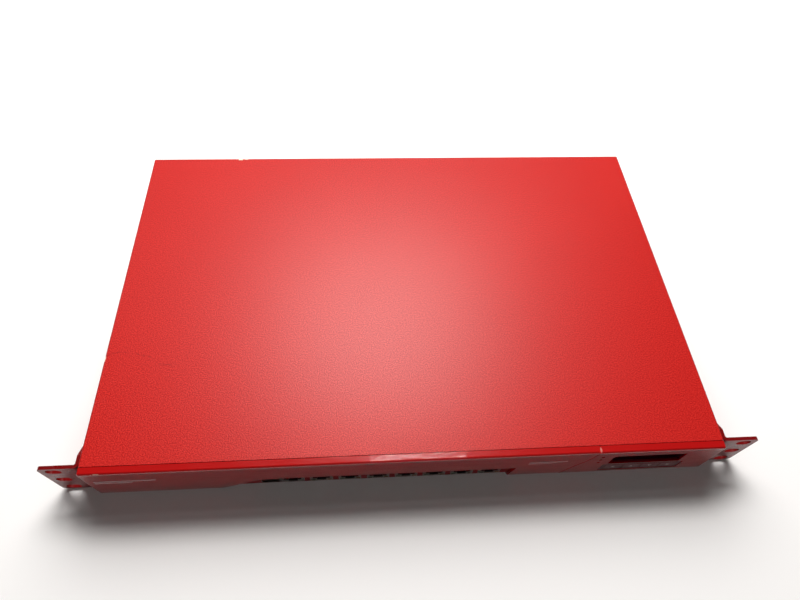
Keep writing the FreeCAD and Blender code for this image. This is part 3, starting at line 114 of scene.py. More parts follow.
# material helpers
class Paint:
    # a material with one shader and short ways to feed it

    def __init__(self, name, **fixed):
        self.material = bpy.data.materials.new(name)
        self.material.use_nodes = True
        self.tree = self.material.node_tree
        self.shader = next(n for n in self.tree.nodes if n.type == "BSDF_PRINCIPLED")
        self.place = self.add("TexCoord").outputs["Object"]
        for socket, value in fixed.items():
            self.shader.inputs[socket.replace("_", " ")].default_value = value

    def add(self, kind, inputs=None, **settings):
        made = self.tree.nodes.new("ShaderNode" + kind)
        for key, value in settings.items():
            setattr(made, key, value)
        for key, value in (inputs or {}).items():
            if isinstance(value, bpy.types.NodeSocket):
                self.tree.links.new(value, made.inputs[key])
            else:
                made.inputs[key].default_value = value
        return made

    def feed(self, socket, value):
        self.tree.links.new(value, self.shader.inputs[socket])

    def maths(self, operation, a, b=0.0, clamp=False):
        return self.add("Math", {0: a, 1: b}, operation=operation, use_clamp=clamp).outputs[0]

    def ramp(self, value, low, high, lowOut=0.0, highOut=1.0):
        return self.add("MapRange", {"Value": value, "From Min": low, "From Max": high,
                                     "To Min": lowOut, "To Max": highOut}).outputs["Result"]

    def stretched(self, stretch):
        # the spot on the object, scaled along each axis where a stretch is given
        if not stretch:
            return self.place
        return self.add("Mapping", {"Vector": self.place, "Scale": stretch}).outputs["Vector"]

    def noise(self, scale, detail=2.0, rough=0.5, stretch=None):
        return self.add("TexNoise", {"Vector": self.stretched(stretch), "Scale": scale, "Detail": detail,
                                     "Roughness": rough}).outputs["Fac"]

    def cells(self, scale, feature="F1", stretch=None):
        return self.add("TexVoronoi", {"Vector": self.stretched(stretch), "Scale": scale},
                        feature=feature).outputs["Distance"]

    def blend(self, share, a, b):
        # sockets 0, 6 and 7 are the share and the two colours, and output 2 is the mixed colour
        return self.add("Mix", {0: share, 6: a, 7: b}, data_type="RGBA").outputs[2]

    def bump(self, height, strength, distance):
        inputs = {"Height": height, "Strength": strength, "Distance": distance}
        return self.add("Bump", inputs).outputs["Normal"]

    def wander(self):
        # a slow waver that breaks up the outline of a chip
        return self.ramp(self.noise(700.0, 3.0), 0.3, 0.7, -0.35, 0.45)

    def flake(self, spot, reach, ragged):
        # 1 in a ragged patch about the spot, with its reach along each axis in millimetres
        away = self.add("VectorMath", {0: self.place, 1: Vector(spot) * mm}, operation="SUBTRACT").outputs[0]
        scaled = self.add("VectorMath", {0: away, 1: [1 / (r * mm) for r in reach]}, operation="MULTIPLY")
        gap = self.add("VectorMath", {0: scaled.outputs[0]}, operation="LENGTH").outputs["Value"]
        return self.ramp(self.maths("ADD", gap, ragged), 1.0, 0.85)

    def most(self, shares):
        # the largest of several shares
        top = shares[0]
        for share in shares[1:]:
            top = self.maths("MAXIMUM", top, share)
        return top

    def line(self, start, end, width):
        # 1 on a straight scratch between two spots, in millimetres, fading over its width
        first = Vector(start) * mm
        along = (Vector(end) - Vector(start)) * mm
        away = self.add("VectorMath", {0: self.place, 1: first}, operation="SUBTRACT").outputs["Vector"]
        dot = self.add("VectorMath", {0: away, 1: along}, operation="DOT_PRODUCT").outputs["Value"]
        share = self.maths("DIVIDE", dot, along.length_squared, clamp=True)
        foot = self.add("VectorMath", {0: along, "Scale": share}, operation="SCALE").outputs["Vector"]
        gap = self.add("VectorMath", {0: away, 1: foot}, operation="DISTANCE").outputs["Value"]
        return self.ramp(gap, width * mm, 0.0)

    def inBox(self, low, high):
        # 1 inside a box given in millimetres
        axes = self.add("SeparateXYZ", {"Vector": self.place}).outputs
        share = None
        for axis, a, b in zip("XYZ", low, high):
            inside = self.maths("MULTIPLY", self.maths("GREATER_THAN", axes[axis], a * mm),
                                self.maths("LESS_THAN", axes[axis], b * mm))
            share = inside if share is None else self.maths("MULTIPLY", share, inside)
        return share


def rgb(red, green, blue):
    return (red, green, blue, 1.0)


# red finishes
def makeCasePaint():
    # wrinkle powder coat: fine grain, slow patches in colour and gloss, a few hairlines and nicks, and
    # painted shade along the lid's rounded top edges
    look = {
        "colour": rgb(0.64, 0.026, 0.020), "pit": rgb(0.35, 0.001, 0.001), "patch": rgb(0.60, 0.023, 0.018),
        "primer": rgb(0.80, 0.66, 0.52), "scratch": rgb(0.28, 0.006, 0.006), "edge": rgb(0.20, 0.006, 0.005),
        "grain": 1250.0, "roughPeak": 0.31, "roughPit": 0.41, "bumpStrength": 0.4, "bumpHeight": 0.00022,
        "edgeWide": 0.7, "patchScale": 7.0, "breakScale": 240.0, "scratchShare": 0.85, "edgeShare": 0.8,
        "scratches": [((-214, -58, 44), (-206, -55.5, 44)), ((-206, -55.5, 44), (-196, -56.5, 44)),
                      ((-196, -56.5, 44), (-183, -60.5, 44)), ((-176, -66, 44), (-166, -67.5, 44))],
        "scratchWidth": 0.8,
        "chips": [((-138.5, 142, 44), (3.6, 2.2, 1.1)), ((-133, 142, 44), (2.4, 1.4, 0.8)),
                  ((-215, -61, 44), (0.9, 2.6, 1.2)), ((196, 142, 44), (1.5, 0.6, 0.8)),
                  ((215, 88, 43.8), (0.6, 1.8, 0.9))],
    }
    paint = Paint("casePaint", IOR=1.5, Specular_IOR_Level=0.46)
    grain = paint.noise(look["grain"], 1.0, 0.5)
    fine = paint.ramp(grain, 0.34, 0.66)
    patches = paint.ramp(paint.noise(look["patchScale"], 3.0), 0.4, 0.62)
    colour = paint.blend(patches, look["colour"], look["patch"])
    colour = paint.blend(fine, look["pit"], colour)
    marks = paint.most([paint.line(start, end, look["scratchWidth"]) for start, end in look["scratches"]])
    broken = paint.maths("MULTIPLY", marks, paint.ramp(paint.noise(look["breakScale"]), 0.36, 0.55))
    colour = paint.blend(paint.maths("MULTIPLY", broken, look["scratchShare"]), colour, look["scratch"])
    # painted shade: a thin dark line round the lid's rounded top edges, where the rounding turns from the
    # light
    low, high = boxOf("top_cover")
    brink = look["edgeWide"]
    inner = paint.inBox((low.x + brink, low.y - 1, high.z - 2), (high.x - brink, high.y - brink, high.z + 1))
    top = paint.inBox((low.x - 1, low.y - 1, high.z - brink), (high.x + 1, high.y + 1, high.z + 1))
    paintedEdgeLight = paint.maths("MULTIPLY", top, paint.maths("SUBTRACT", 1.0, inner))
    colour = paint.blend(paint.maths("MULTIPLY", paintedEdgeLight, look["edgeShare"]), colour, look["edge"])
    ragged = paint.wander()
    bare = paint.most([paint.flake(spot, reach, ragged) for spot, reach in look["chips"]])
    paint.feed("Base Color", paint.blend(bare, colour, look["primer"]))
    paint.feed("Roughness", paint.ramp(fine, 0.0, 1.0, look["roughPit"], look["roughPeak"]))
    paint.feed("Normal", paint.bump(grain, look["bumpStrength"], look["bumpHeight"]))
    return paint.material


def makeBezelPaint():
    # smooth lacquer under a clear coat, with plain light bars where a maker would print its name; painted
    # light: a lighter top strip, painted shade in the display opening and round the lamps, and a painted
    # glint at the crease
    look = {
        "colour": rgb(0.33, 0.002, 0.003), "patch": rgb(0.30, 0.002, 0.003), "print": rgb(0.50, 0.44, 0.45),
        "primer": rgb(0.66, 0.40, 0.30), "inside": rgb(0.035, 0.005, 0.008), "paintedEdgeLight": rgb(0.66, 0.24, 0.20),
        "litTopColour": rgb(0.41, 0.006, 0.006), "shadedSill": rgb(0.16, 0.004, 0.010), "dust": rgb(0.40, 0.16, 0.15),
        "halfWidth": 216, "topHeight": 42.9, "topDepth": 7,
        "wellDepth": 0.3, "sillDepth": 0.9, "shadeDepth": 2.1, "backDepth": 5,
        "wellSides": (129, 133.4), "wellHeights": (22, 38),
        "glintSpot": (127.3, -141.5, 43.8), "glintReach": (0.7, 2.0, 0.7), "glintShare": 0.8,
        "bars": [((-210, -144, 27.8), (-170, -142, 29.6)), ((-210, -144, 24.6), (-186, -142, 26.4)),
                 ((81, -144, 28.6), (108, -142, 29.8)), ((81, -144, 26.2), (98, -142, 27.4))],
        "chips": [((-203, -143.2, 43.3), (4.0, 0.45, 0.4)), ((-190, -143.2, 43.3), (2.4, 0.3, 0.3)),
                  ((-172, -143.2, 43.3), (2.0, 0.25, 0.25)), ((-215, -141, 20), (0.8, 1.0, 2.0))],
    }
    paint = Paint("bezelPaint", IOR=1.5, Specular_IOR_Level=0.35, Coat_Weight=1.0, Coat_Roughness=0.07)
    colour = paint.blend(paint.ramp(paint.noise(14.0, 3.0), 0.4, 0.65), look["colour"], look["patch"])
    dust = paint.ramp(paint.noise(1300.0, 1.0), 0.72, 0.8, 0.0, 0.3)
    colour = paint.blend(dust, colour, look["dust"])
    bars = paint.most([paint.inBox(low, high) for low, high in look["bars"]])
    rubbed = paint.maths("MULTIPLY", bars, paint.ramp(paint.noise(900.0, 2.0), 0.32, 0.45, 0.35, 0.9))
    colour = paint.blend(rubbed, colour, look["print"])
    low, high = boxOf("display_window")
    front = frontY / mm
    back = front + look["backDepth"]
    # painted highlight: the bezel's top strip gets a lighter red than its face, the same lacquer as lit from
    # above
    litTop = paint.inBox((-look["halfWidth"], front - 1, look["topHeight"]),
                        (look["halfWidth"], front + look["topDepth"], 45))
    colour = paint.blend(litTop, colour, look["litTopColour"])
    # painted shade: a darker red on the sill of the display opening, under the brow
    shadedSill = paint.inBox((low.x - 1, front + look["sillDepth"], low.z - 1), (high.x + 1, back, high.z + 1))
    colour = paint.blend(shadedSill, colour, look["shadedSill"])
    # painted shade: near black deep in the display opening
    shade = paint.inBox((low.x - 1, front + look["shadeDepth"], low.z - 1), (high.x + 1, back, high.z + 1))
    colour = paint.blend(shade, colour, look["inside"])
    left, right = look["wellSides"]    # painted shade: near black round the three lamps, in their wells
    foot, top = look["wellHeights"]
    wells = paint.inBox((left, front + look["wellDepth"], foot), (right, back, top))
    colour = paint.blend(wells, colour, look["inside"])
    ragged = paint.wander()
    bare = paint.most([paint.flake(spot, reach, ragged) for spot, reach in look["chips"]])
    colour = paint.blend(bare, colour, look["primer"])
    # painted highlight: a small pale glint where the crease crosses the top strip
    glint = paint.flake(look["glintSpot"], look["glintReach"], paint.ramp(ragged, -0.35, 0.45, -0.1, 0.1))
    paint.feed("Base Color", paint.blend(paint.maths("MULTIPLY", glint, look["glintShare"]), colour,
                                         look["paintedEdgeLight"]))
    paint.feed("Roughness", paint.ramp(paint.noise(35.0, 2.0), 0.3, 0.7, 0.21, 0.26))
    peel = paint.noise(90.0, 1.5, 0.5, stretch=(0.35, 1.0, 1.0))
    paint.feed("Normal", paint.bump(peel, 0.4, 0.0005))
    paint.feed("Coat Normal", paint.bump(paint.noise(160.0, 2.0, stretch=(0.4, 1.0, 1.0)), 0.6, 0.0004))
    return paint.material


def makeSatinPaint(name, colour, patch, wearColour, roughLow, roughHigh, shine):
    # sprayed satin paint with fine orange peel and rubbed, lighter specks
    paint = Paint(name, IOR=1.5, Specular_IOR_Level=shine)
    shade = paint.blend(paint.ramp(paint.noise(30.0, 4.0), 0.35, 0.65), colour, patch)
    specks = paint.ramp(paint.noise(700.0, 3.0, 0.7), 0.68, 0.76, 0.0, 0.5)
    paint.feed("Base Color", paint.blend(specks, shade, wearColour))
    paint.feed("Roughness", paint.ramp(paint.noise(90.0, 3.0), 0.3, 0.7, roughLow, roughHigh))
    paint.feed("Normal", paint.bump(paint.noise(420.0, 2.0), 0.16, 0.0003))
    return paint.material


# plastics, metals and the rest
def makePlastic(name, colour, roughness=0.45, grain=1400.0, strength=0.12, tint=1.35):
    # moulded plastic: fine spark-eroded grain and slow changes in gloss
    paint = Paint(name, IOR=1.48)
    lighter = tuple(min(c * tint + 0.002, 1.0) for c in colour[:3]) + (1.0,)
    paint.feed("Base Color", paint.blend(paint.ramp(paint.noise(60.0, 4.0), 0.35, 0.7), colour, lighter))
    paint.feed("Roughness", paint.ramp(paint.noise(140.0, 3.0), 0.3, 0.7, roughness - 0.06, roughness + 0.1))
    paint.feed("Normal", paint.bump(paint.noise(grain, 2.0, 0.6), strength, 0.0001))
    return paint.material


def makeMetal(name, colour, roughness=0.3, brush=(1.0, 30.0, 1.0), strength=0.08, spangle=0.0):
    # sheet or turned metal with brushed lines along one way, dulled in patches
    paint = Paint(name, Metallic=1.0)
    lines = paint.noise(260.0, 4.0, 0.65, stretch=brush)
    dull = tuple(c * 0.72 for c in colour[:3]) + (1.0,)
    shade = paint.blend(paint.ramp(lines, 0.35, 0.7), colour, dull)
    if spangle:
        flakes = paint.add("TexVoronoi", {"Vector": paint.place, "Scale": spangle}).outputs["Color"]
        flat = paint.add("RGBToBW", {"Color": flakes}).outputs["Val"]
        shade = paint.blend(paint.ramp(flat, 0.2, 0.8, 0.0, 0.5), shade, dull)
    paint.feed("Base Color", shade)
    paint.feed("Roughness", paint.ramp(paint.noise(45.0, 4.0), 0.3, 0.7, roughness - 0.08, roughness + 0.12))
    paint.feed("Normal", paint.bump(lines, strength, 0.0001))
    return paint.material


def makeBoard(name, mask, copper):
    # solder mask over traces: cell borders give the runs of copper under it
    paint = Paint(name, IOR=1.5, Coat_Weight=0.3, Coat_Roughness=0.2)
    runs = paint.cells(150.0, "DISTANCE_TO_EDGE", stretch=(1.0, 0.35, 1.0))
    trace = paint.ramp(runs, 0.09, 0.07)
    pads = paint.ramp(paint.cells(330.0), 0.16, 0.13)
    shade = paint.blend(paint.maths("MULTIPLY", trace, 0.6), mask, copper)
    shade = paint.blend(paint.maths("MULTIPLY", pads, 0.55), shade, rgb(0.55, 0.55, 0.5))
    paint.feed("Base Color", shade)
    paint.feed("Roughness", paint.ramp(paint.noise(80.0), 0.3, 0.7, 0.3, 0.42))
    paint.feed("Normal", paint.bump(trace, 0.2, 0.0001))
    return paint.material


def makeClear(name, colour, roughness, ior=1.49, haze=0.0):
    # clear moulded plastic with faint wipe marks
    paint = Paint(name, IOR=ior, Transmission_Weight=1.0)
    wiped = paint.noise(120.0, 4.0, 0.6, stretch=(1.0, 1.0, 6.0))
    lighter = tuple(min(c * 1.15 + haze, 1.0) for c in colour[:3]) + (1.0,)
    paint.feed("Base Color", paint.blend(paint.ramp(wiped, 0.4, 0.7), colour, lighter))
    paint.feed("Roughness", paint.ramp(wiped, 0.3, 0.75, roughness, roughness + 0.08))
    paint.feed("Normal", paint.bump(paint.noise(90.0, 1.0), 0.02, 0.0003))
    return paint.material


def makeDisplayFace():
    # unlit character display: faint cells in two rows on dark film
    face = {"cellWide": 3.1, "cellTall": 6.2, "film": rgb(0.010, 0.008, 0.012),
            "cell": rgb(0.030, 0.022, 0.034), "haze": rgb(0.02, 0.012, 0.016)}
    paint = Paint("displayFace", IOR=1.52)
    low = boxOf("display_window")[0]
    axes = paint.add("SeparateXYZ", {"Vector": paint.place}).outputs
    across = paint.maths("FRACT", paint.maths("MULTIPLY", axes["X"], 1 / (face["cellWide"] * mm)))
    upward = paint.maths("FRACT", paint.maths("MULTIPLY", paint.maths("SUBTRACT", axes["Z"], low.z * mm),
                                              1 / (face["cellTall"] * mm)))
    cell = paint.maths("MULTIPLY", paint.ramp(across, 0.1, 0.16), paint.ramp(across, 0.9, 0.84))
    cell = paint.maths("MULTIPLY", cell, paint.maths("MULTIPLY", paint.ramp(upward, 0.12, 0.2),
                                                     paint.ramp(upward, 0.9, 0.82)))
    shade = paint.blend(paint.maths("MULTIPLY", cell, 0.6), face["film"], face["cell"])
    film = paint.blend(paint.ramp(paint.noise(60.0, 3.0), 0.4, 0.7, 0.0, 0.4), shade, face["haze"])
    paint.feed("Base Color", film)
    paint.feed("Roughness", paint.ramp(paint.noise(150.0), 0.3, 0.7, 0.12, 0.2))
    return paint.material


print("materials: making")
casePaint = makeCasePaint()
bezelPaint = makeBezelPaint()
earPaint = makeSatinPaint("earPaint", rgb(0.17, 0.004, 0.005), rgb(0.14, 0.004, 0.004),
                          rgb(0.42, 0.06, 0.06), 0.24, 0.36, 0.2)
panelPaint = makeSatinPaint("panelPaint", rgb(0.26, 0.006, 0.008), rgb(0.20, 0.005, 0.007),
                            rgb(0.32, 0.06, 0.06), 0.4, 0.5, 0.3)
stripLabel = makePlastic("stripLabel", rgb(0.11, 0.045, 0.048), 0.42, 2200.0, 0.08)
keyPlastic = makePlastic("keyPlastic", rgb(0.15, 0.065, 0.068), 0.38, 1800.0, 0.1)
jackPlastic = makePlastic("jackPlastic", rgb(0.014, 0.014, 0.015), 0.4)
chipPlastic = makePlastic("chipPlastic", rgb(0.020, 0.020, 0.022), 0.6, 900.0, 0.2)
fanPlastic = makePlastic("fanPlastic", rgb(0.018, 0.018, 0.020), 0.48, 1100.0, 0.18)
switchPlastic = makePlastic("switchPlastic", rgb(0.016, 0.016, 0.017), 0.3, 1600.0, 0.08)
leadSleeve = makePlastic("leadSleeve", rgb(0.03, 0.03, 0.032), 0.5, 800.0, 0.1)
whitePrint = makePlastic("whitePrint", rgb(0.62, 0.60, 0.60), 0.5, 1500.0, 0.05, 1.1)
greenLamp = makePlastic("greenLamp", rgb(0.05, 0.10, 0.04), 0.25, 600.0, 0.05)
amberLamp = makePlastic("amberLamp", rgb(0.16, 0.08, 0.02), 0.25, 600.0, 0.05)
shieldMetal = makeMetal("shieldMetal", rgb(0.40, 0.36, 0.34), 0.34, (1.0, 1.0, 18.0))
supplyZinc = makeMetal("supplyZinc", rgb(0.60, 0.60, 0.57), 0.38, (1.0, 12.0, 1.0), 0.05, spangle=110.0)
screwZinc = makeMetal("screwZinc", rgb(0.52, 0.52, 0.50), 0.3, (1.0, 1.0, 1.0))
screwBlack = makeMetal("screwBlack", rgb(0.10, 0.10, 0.105), 0.36, (1.0, 1.0, 1.0))
sinkMetal = makeMetal("sinkMetal", rgb(0.80, 0.80, 0.82), 0.3, (1.0, 24.0, 1.0))
canMetal = makeMetal("canMetal", rgb(0.50, 0.51, 0.55), 0.28, (1.0, 1.0, 8.0))
cellMetal = makeMetal("cellMetal", rgb(0.72, 0.71, 0.68), 0.24, (8.0, 8.0, 1.0))
brassMetal = makeMetal("brassMetal", rgb(0.75, 0.52, 0.22), 0.26, (1.0, 1.0, 20.0))
goldMetal = makeMetal("goldMetal", rgb(0.85, 0.60, 0.24), 0.22, (10.0, 1.0, 1.0))
boardMask = makeBoard("boardMask", rgb(0.010, 0.085, 0.030), rgb(0.05, 0.20, 0.06))
windowClear = makeClear("windowClear", rgb(0.30, 0.12, 0.16), 0.03)
lampClear = makeClear("lampClear", rgb(0.86, 0.88, 0.84), 0.22, haze=0.02)
displayFace = makeDisplayFace()

finishes = {
    "case_paint": casePaint, "bezel_paint": bezelPaint, "ear_paint": earPaint, "panel_steel": panelPaint,
    "strip_label": stripLabel, "key_plastic": keyPlastic, "window_clear": windowClear,
    "display_glass": jackPlastic, "lamp_clear": lampClear, "board_green": boardMask,
    "jack_plastic": jackPlastic, "shield_metal": shieldMetal, "screw_steel": screwZinc,
    "ear_screw_steel": screwBlack, "brass_post": brassMetal, "chip_plastic": chipPlastic,
    "sink_aluminium": sinkMetal, "capacitor_can": canMetal, "cell_steel": cellMetal,
    "supply_zinc": supplyZinc, "fan_plastic": fanPlastic, "lead_insulation": leadSleeve,
    "switch_plastic": switchPlastic,
}
for part in frame["record"]["subparts"]:
    mesh = nodes[part["node"]].data
    mesh.materials.clear()
    mesh.materials.append(finishes[part["material_slot"]])
print("materials: set on", len(nodes), "nodes")


# sockets: spring contacts, lamps and shield fingers
def socketContacts(node, index):
    wire = {"count": 8, "pitch": 1.02, "halfWide": 0.22, "halfThick": 0.14, "ceiling": 11.6}
    low, high = boxOf(node)
    middle = (low.x + high.x) / 2
    ceiling = low.z + wire["ceiling"]
    mouth = low.y
    bm = bmesh.new()
    for i in range(wire["count"]):
        x = middle + (i - (wire["count"] - 1) / 2) * wire["pitch"]
        path = [(x, mouth + 12.0, ceiling - 0.25), (x, mouth + 4.6, ceiling - 0.25),
                (x, mouth + 3.2, ceiling - 0.35), (x, mouth + 2.7, ceiling - 0.8),
                (x, mouth + 3.2, ceiling - 1.2), (x, mouth + 6.4, ceiling - 2.3),
                (x, mouth + 9.4, ceiling - 3.1)]
        sweepStrip(bm, path, wire["halfWide"], wire["halfThick"])
    finishPiece(f"socketContacts_{index}", bm, goldMetal)


def socketLamps(node, index):
    window = {"inner": 4.3, "width": 2.9, "foot": 0.9, "height": 1.9, "proud": 0.12, "deep": 0.5}
    low, high = boxOf(node)
    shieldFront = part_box("port_shields")[0].y / mm
    middle = (low.x + high.x) / 2
    for side, name, material in ((-1, "greenLamp", greenLamp), (1, "amberLamp", amberLamp)):
        near = middle + side * window["inner"]
        far = near + side * window["width"]
        bm = bmesh.new()
        addBox(bm, (min(near, far), shieldFront - window["proud"], low.z + window["foot"]),
               (max(near, far), shieldFront + window["deep"], low.z + window["foot"] + window["height"]))
        finishPiece(f"socket_{name}_{index}", bm, material, bevel=0.12)


def shieldFingers(places):
    # bowed springs that press on the panel, two over each socket
    finger = {"length": 5.0, "wide": 1.2, "bow": 0.16, "thick": 0.08, "start": 1.9, "offset": 3.6,
              "steps": 6}
    low, high = boxOf("port_shields")
    bm = bmesh.new()
    for middle in places:
        for side in (-1, 1):
            path = []
            for step in range(finger["steps"] + 1):
                share = step / finger["steps"]
                path.append((middle + side * finger["offset"],
                             low.y + finger["start"] + share * finger["length"],
                             high.z + finger["thick"] + finger["bow"] * math.sin(math.pi * share)))
            sweepStrip(bm, path, finger["wide"] / 2, finger["thick"])
    finishPiece("shieldFingers", bm, shieldMetal)


def portTicks(places):
    # a plain painted tick under each socket, on the panel's foot
    tick = {"wide": 2.6, "tall": 1.5, "foot": 2.4, "thick": 0.04}
    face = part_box("port_panel")[0].y / mm
    bm = bmesh.new()
    for middle in places:
        addBox(bm, (middle - tick["wide"] / 2, face - tick["thick"], tick["foot"]),
               (middle + tick["wide"] / 2, face + tick["thick"], tick["foot"] + tick["tall"]))
    finishPiece("portTicks", bm, whitePrint, smooth=False)


def busTongues():
    tongue = {"width": 10.8, "thick": 1.7, "start": 1.0, "end": 12.0, "lift": 0.7,
              "floor": 0.6, "levelPitch": 5.7, "halfLevel": 2.55}
    pads = {"count": 4, "pitch": 2.4, "width": 1.1}
    low, high = boxOf("usb_ports")
    middle = (low.x + high.x) / 2
    plastic = bmesh.new()
    metal = bmesh.new()
    for level in range(2):
        z = low.z + tongue["floor"] + level * tongue["levelPitch"] + tongue["halfLevel"] + tongue["lift"]
        addBox(plastic, (middle - tongue["width"] / 2, low.y + tongue["start"], z - tongue["thick"] / 2),
               (middle + tongue["width"] / 2, low.y + tongue["end"] - 0.05, z + tongue["thick"] / 2))
        for i in range(pads["count"]):
            x = middle + (i - (pads["count"] - 1) / 2) * pads["pitch"]
            foot = z - tongue["thick"] / 2
            sweepStrip(metal, [(x, low.y + 1.6, foot - 0.02), (x, low.y + 3.0, foot - 0.16),
                               (x, low.y + 6.0, foot - 0.2), (x, low.y + 11.0, foot - 0.05)],
                       pads["width"] / 2, 0.1)
    finishPiece("busTongues", plastic, jackPlastic, bevel=0.2)
    finishPiece("busContacts", metal, goldMetal)


print("sockets: contacts, lamps, fingers, tongues")
socketNodes = ["console_jack"] + [f"network_jack_{i}" for i in range(1, 8)]
for number, socket in enumerate(socketNodes):
    socketContacts(socket, number)
    if number:
        socketLamps(socket, number)
socketMiddles = [sum(corner.x for corner in boxOf(node)) / 2 for node in socketNodes]
shieldFingers(socketMiddles)
portTicks(socketMiddles)
busTongues()


# controls: display face and key marks
def displayPieces():
    glass = {"inset": 0.15, "thick": 0.35, "margin": 1.2}
    low, high = boxOf("display_window")
    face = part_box("display_module")[0].y / mm
    bm = bmesh.new()
    margin = glass["margin"]
    addBox(bm, (low.x + margin, face + glass["inset"], low.z + margin),
           (high.x - margin, face + glass["inset"] + glass["thick"], high.z - margin))
    finishPiece("displayCell", bm, displayFace, bevel=0.1)


def keyMark(name, turn):
    # a plain arrowhead on the key's face
    mark = {"reach": 1.5, "half": 1.35, "notch": 0.5, "thick": 0.04, "sunk": 0.1}
    low, high = boxOf(name)
    x = (low.x + high.x) / 2
    z = (low.z + high.z) / 2
    points = []
    for along, across in ((mark["reach"], 0), (-mark["reach"], mark["half"]), (-mark["notch"], 0),
                          (-mark["reach"], -mark["half"])):
        points.append((x + along * math.cos(turn) - across * math.sin(turn),
                       z + along * math.sin(turn) + across * math.cos(turn)))
    bm = bmesh.new()
    extrudeShape(bm, points, low.y - mark["thick"], low.y + mark["sunk"])
    finishPiece(f"{name}_mark", bm, whitePrint, body=name, smooth=False)


print("controls: display and keys")
displayPieces()
for key, turn in (("key_left", math.pi), ("key_up", math.pi / 2), ("key_down", -math.pi / 2),
                  ("key_right", 0.0)):
    keyMark(key, turn)


# rear: inlet blades and rocker marks
def inletBlades():
    blade = {"wide": 1.15, "tall": 2.15, "spread": 7.0, "offset": 2.0, "start": 15.6, "reach": 3.5}
    low, high = boxOf("power_inlet")
    x = (low.x + high.x) / 2
    z = (high.z + low.z) / 2
    bm = bmesh.new()
    for dx, dz in ((-1, -1), (0, 1), (1, -1)):
        cx = x + dx * blade["spread"]
        cz = z + dz * blade["offset"]
        addBox(bm, (cx - blade["wide"], high.y - blade["start"], cz - blade["tall"]),
               (cx + blade["wide"], high.y - blade["reach"], cz + blade["tall"]))
    finishPiece("inletBlades", bm, screwZinc, bevel=0.35)


def rockerMarks():
    # a plain bar and ring, on the two halves of the tilted rocker
    mark = {"away": 4.6, "bar": 3.0, "ring": 1.5, "line": 0.45, "thick": 0.1, "steps": 24}
    rocker = {"tilt": 9, "thick": 2.1, "rise": 1.1, "half": 8.3}
    joint = next(j for j in frame["joints"] if j["child"] == "power_rocker")
    pivot = Vector(joint["pos_m"]) / mm
    tilt = math.radians(rocker["tilt"])
    for name, side in (("rockerBar", -1), ("rockerRing", 1)):
        slope = math.atan2(rocker["rise"], rocker["half"]) * side
        bm = bmesh.new()
        if side < 0:
            addBox(bm, (-mark["line"] / 2, 0, -mark["bar"] / 2),
                   (mark["line"] / 2, mark["thick"], mark["bar"] / 2))
        else:
            rim = mark["steps"]
            loops = []
            for radius in (mark["ring"], mark["ring"] - mark["line"]):
                for y in (0, mark["thick"]):
                    loops.append([bm.verts.new((radius * math.cos(math.tau * i / rim), y,
                                                radius * math.sin(math.tau * i / rim))) for i in range(rim)])
            outerBack, outerFront, innerBack, innerFront = loops
            for a, b in ((outerBack, outerFront), (outerFront, innerFront), (innerFront, innerBack),
                         (innerBack, outerBack)):
                for i in range(rim):
                    j = (i + 1) % rim
                    bm.faces.new([a[i], a[j], b[j], b[i]])
        base = Vector((side * mark["away"],
                       rocker["thick"] + rocker["rise"] * mark["away"] / rocker["half"], 0))
        for vert in bm.verts:
            spot = vert.co.copy()
            turned = Vector((spot.x * math.cos(slope) - spot.y * math.sin(slope),
                             spot.x * math.sin(slope) + spot.y * math.cos(slope), spot.z))
            local = base + turned
            vert.co = pivot + Vector((local.x * math.cos(tilt) - local.y * math.sin(tilt),
                                      local.x * math.sin(tilt) + local.y * math.cos(tilt), local.z))
        finishPiece(name, bm, whitePrint, body="power_rocker")


print("rear: inlet and rocker")
inletBlades()
rockerMarks()


# main board: small parts, seen through the vents
def boardParts():
    scatter = {"count": 260, "seed": 7, "margin": 6.0, "clear": 4.0, "wides": (1.2, 1.6, 2.0, 3.2, 5.0, 7.0),
               "shapes": (0.5, 1.0, 1.4), "leastTall": 0.5, "rise": 0.18}
    low, high = boxOf("main_board")
    taken = [boxOf(node) for node in ("processor_heatsink", "chipset_heatsink", "memory_socket",
                                      "storage_module", "cell_holder", "board_capacitors",
                                      "network_transformers", "power_harness", "display_ribbon",
                                      "port_shields", "usb_ports")]
    clear = scatter["clear"]
    rng = random.Random(scatter["seed"])
    bm = bmesh.new()
    for i in range(scatter["count"]):
        wide = rng.choice(scatter["wides"])
        deep = wide * rng.choice(scatter["shapes"])
        tall = scatter["leastTall"] + scatter["rise"] * wide
        x = rng.uniform(low.x + scatter["margin"], high.x - scatter["margin"])
        y = rng.uniform(low.y + scatter["margin"], high.y - scatter["margin"])
        if any(a.x - clear < x < b.x + clear and a.y - clear < y < b.y + clear for a, b in taken):
            continue
        addBox(bm, (x - wide / 2, y - deep / 2, high.z), (x + wide / 2, y + deep / 2, high.z + tall))
    finishPiece("boardParts", bm, chipPlastic, bevel=0.12, segments=1)


print("board: small parts")
boardParts()


# room: floor, light and camera
def makeFloor():
    ground = {"reach": 6.0, "colour": rgb(0.90, 0.90, 0.90), "patch": rgb(0.86, 0.86, 0.86)}
    paint = Paint("floorPaint", Roughness=0.9)
    shade = paint.blend(paint.ramp(paint.noise(3.0, 2.0), 0.3, 0.7, 0.0, 0.15), ground["colour"],
                        ground["patch"])
    paint.feed("Base Color", shade)
    reach = ground["reach"]
    mesh = bpy.data.meshes.new("floor")
    mesh.from_pydata([(-reach, -reach, 0), (reach, -reach, 0), (reach, reach, 0), (-reach, reach, 0)], [],
                     [(0, 1, 2, 3)])
    mesh.materials.append(paint.material)
    floor = bpy.data.objects.new("floor", mesh)
    bpy.context.scene.collection.objects.link(floor)


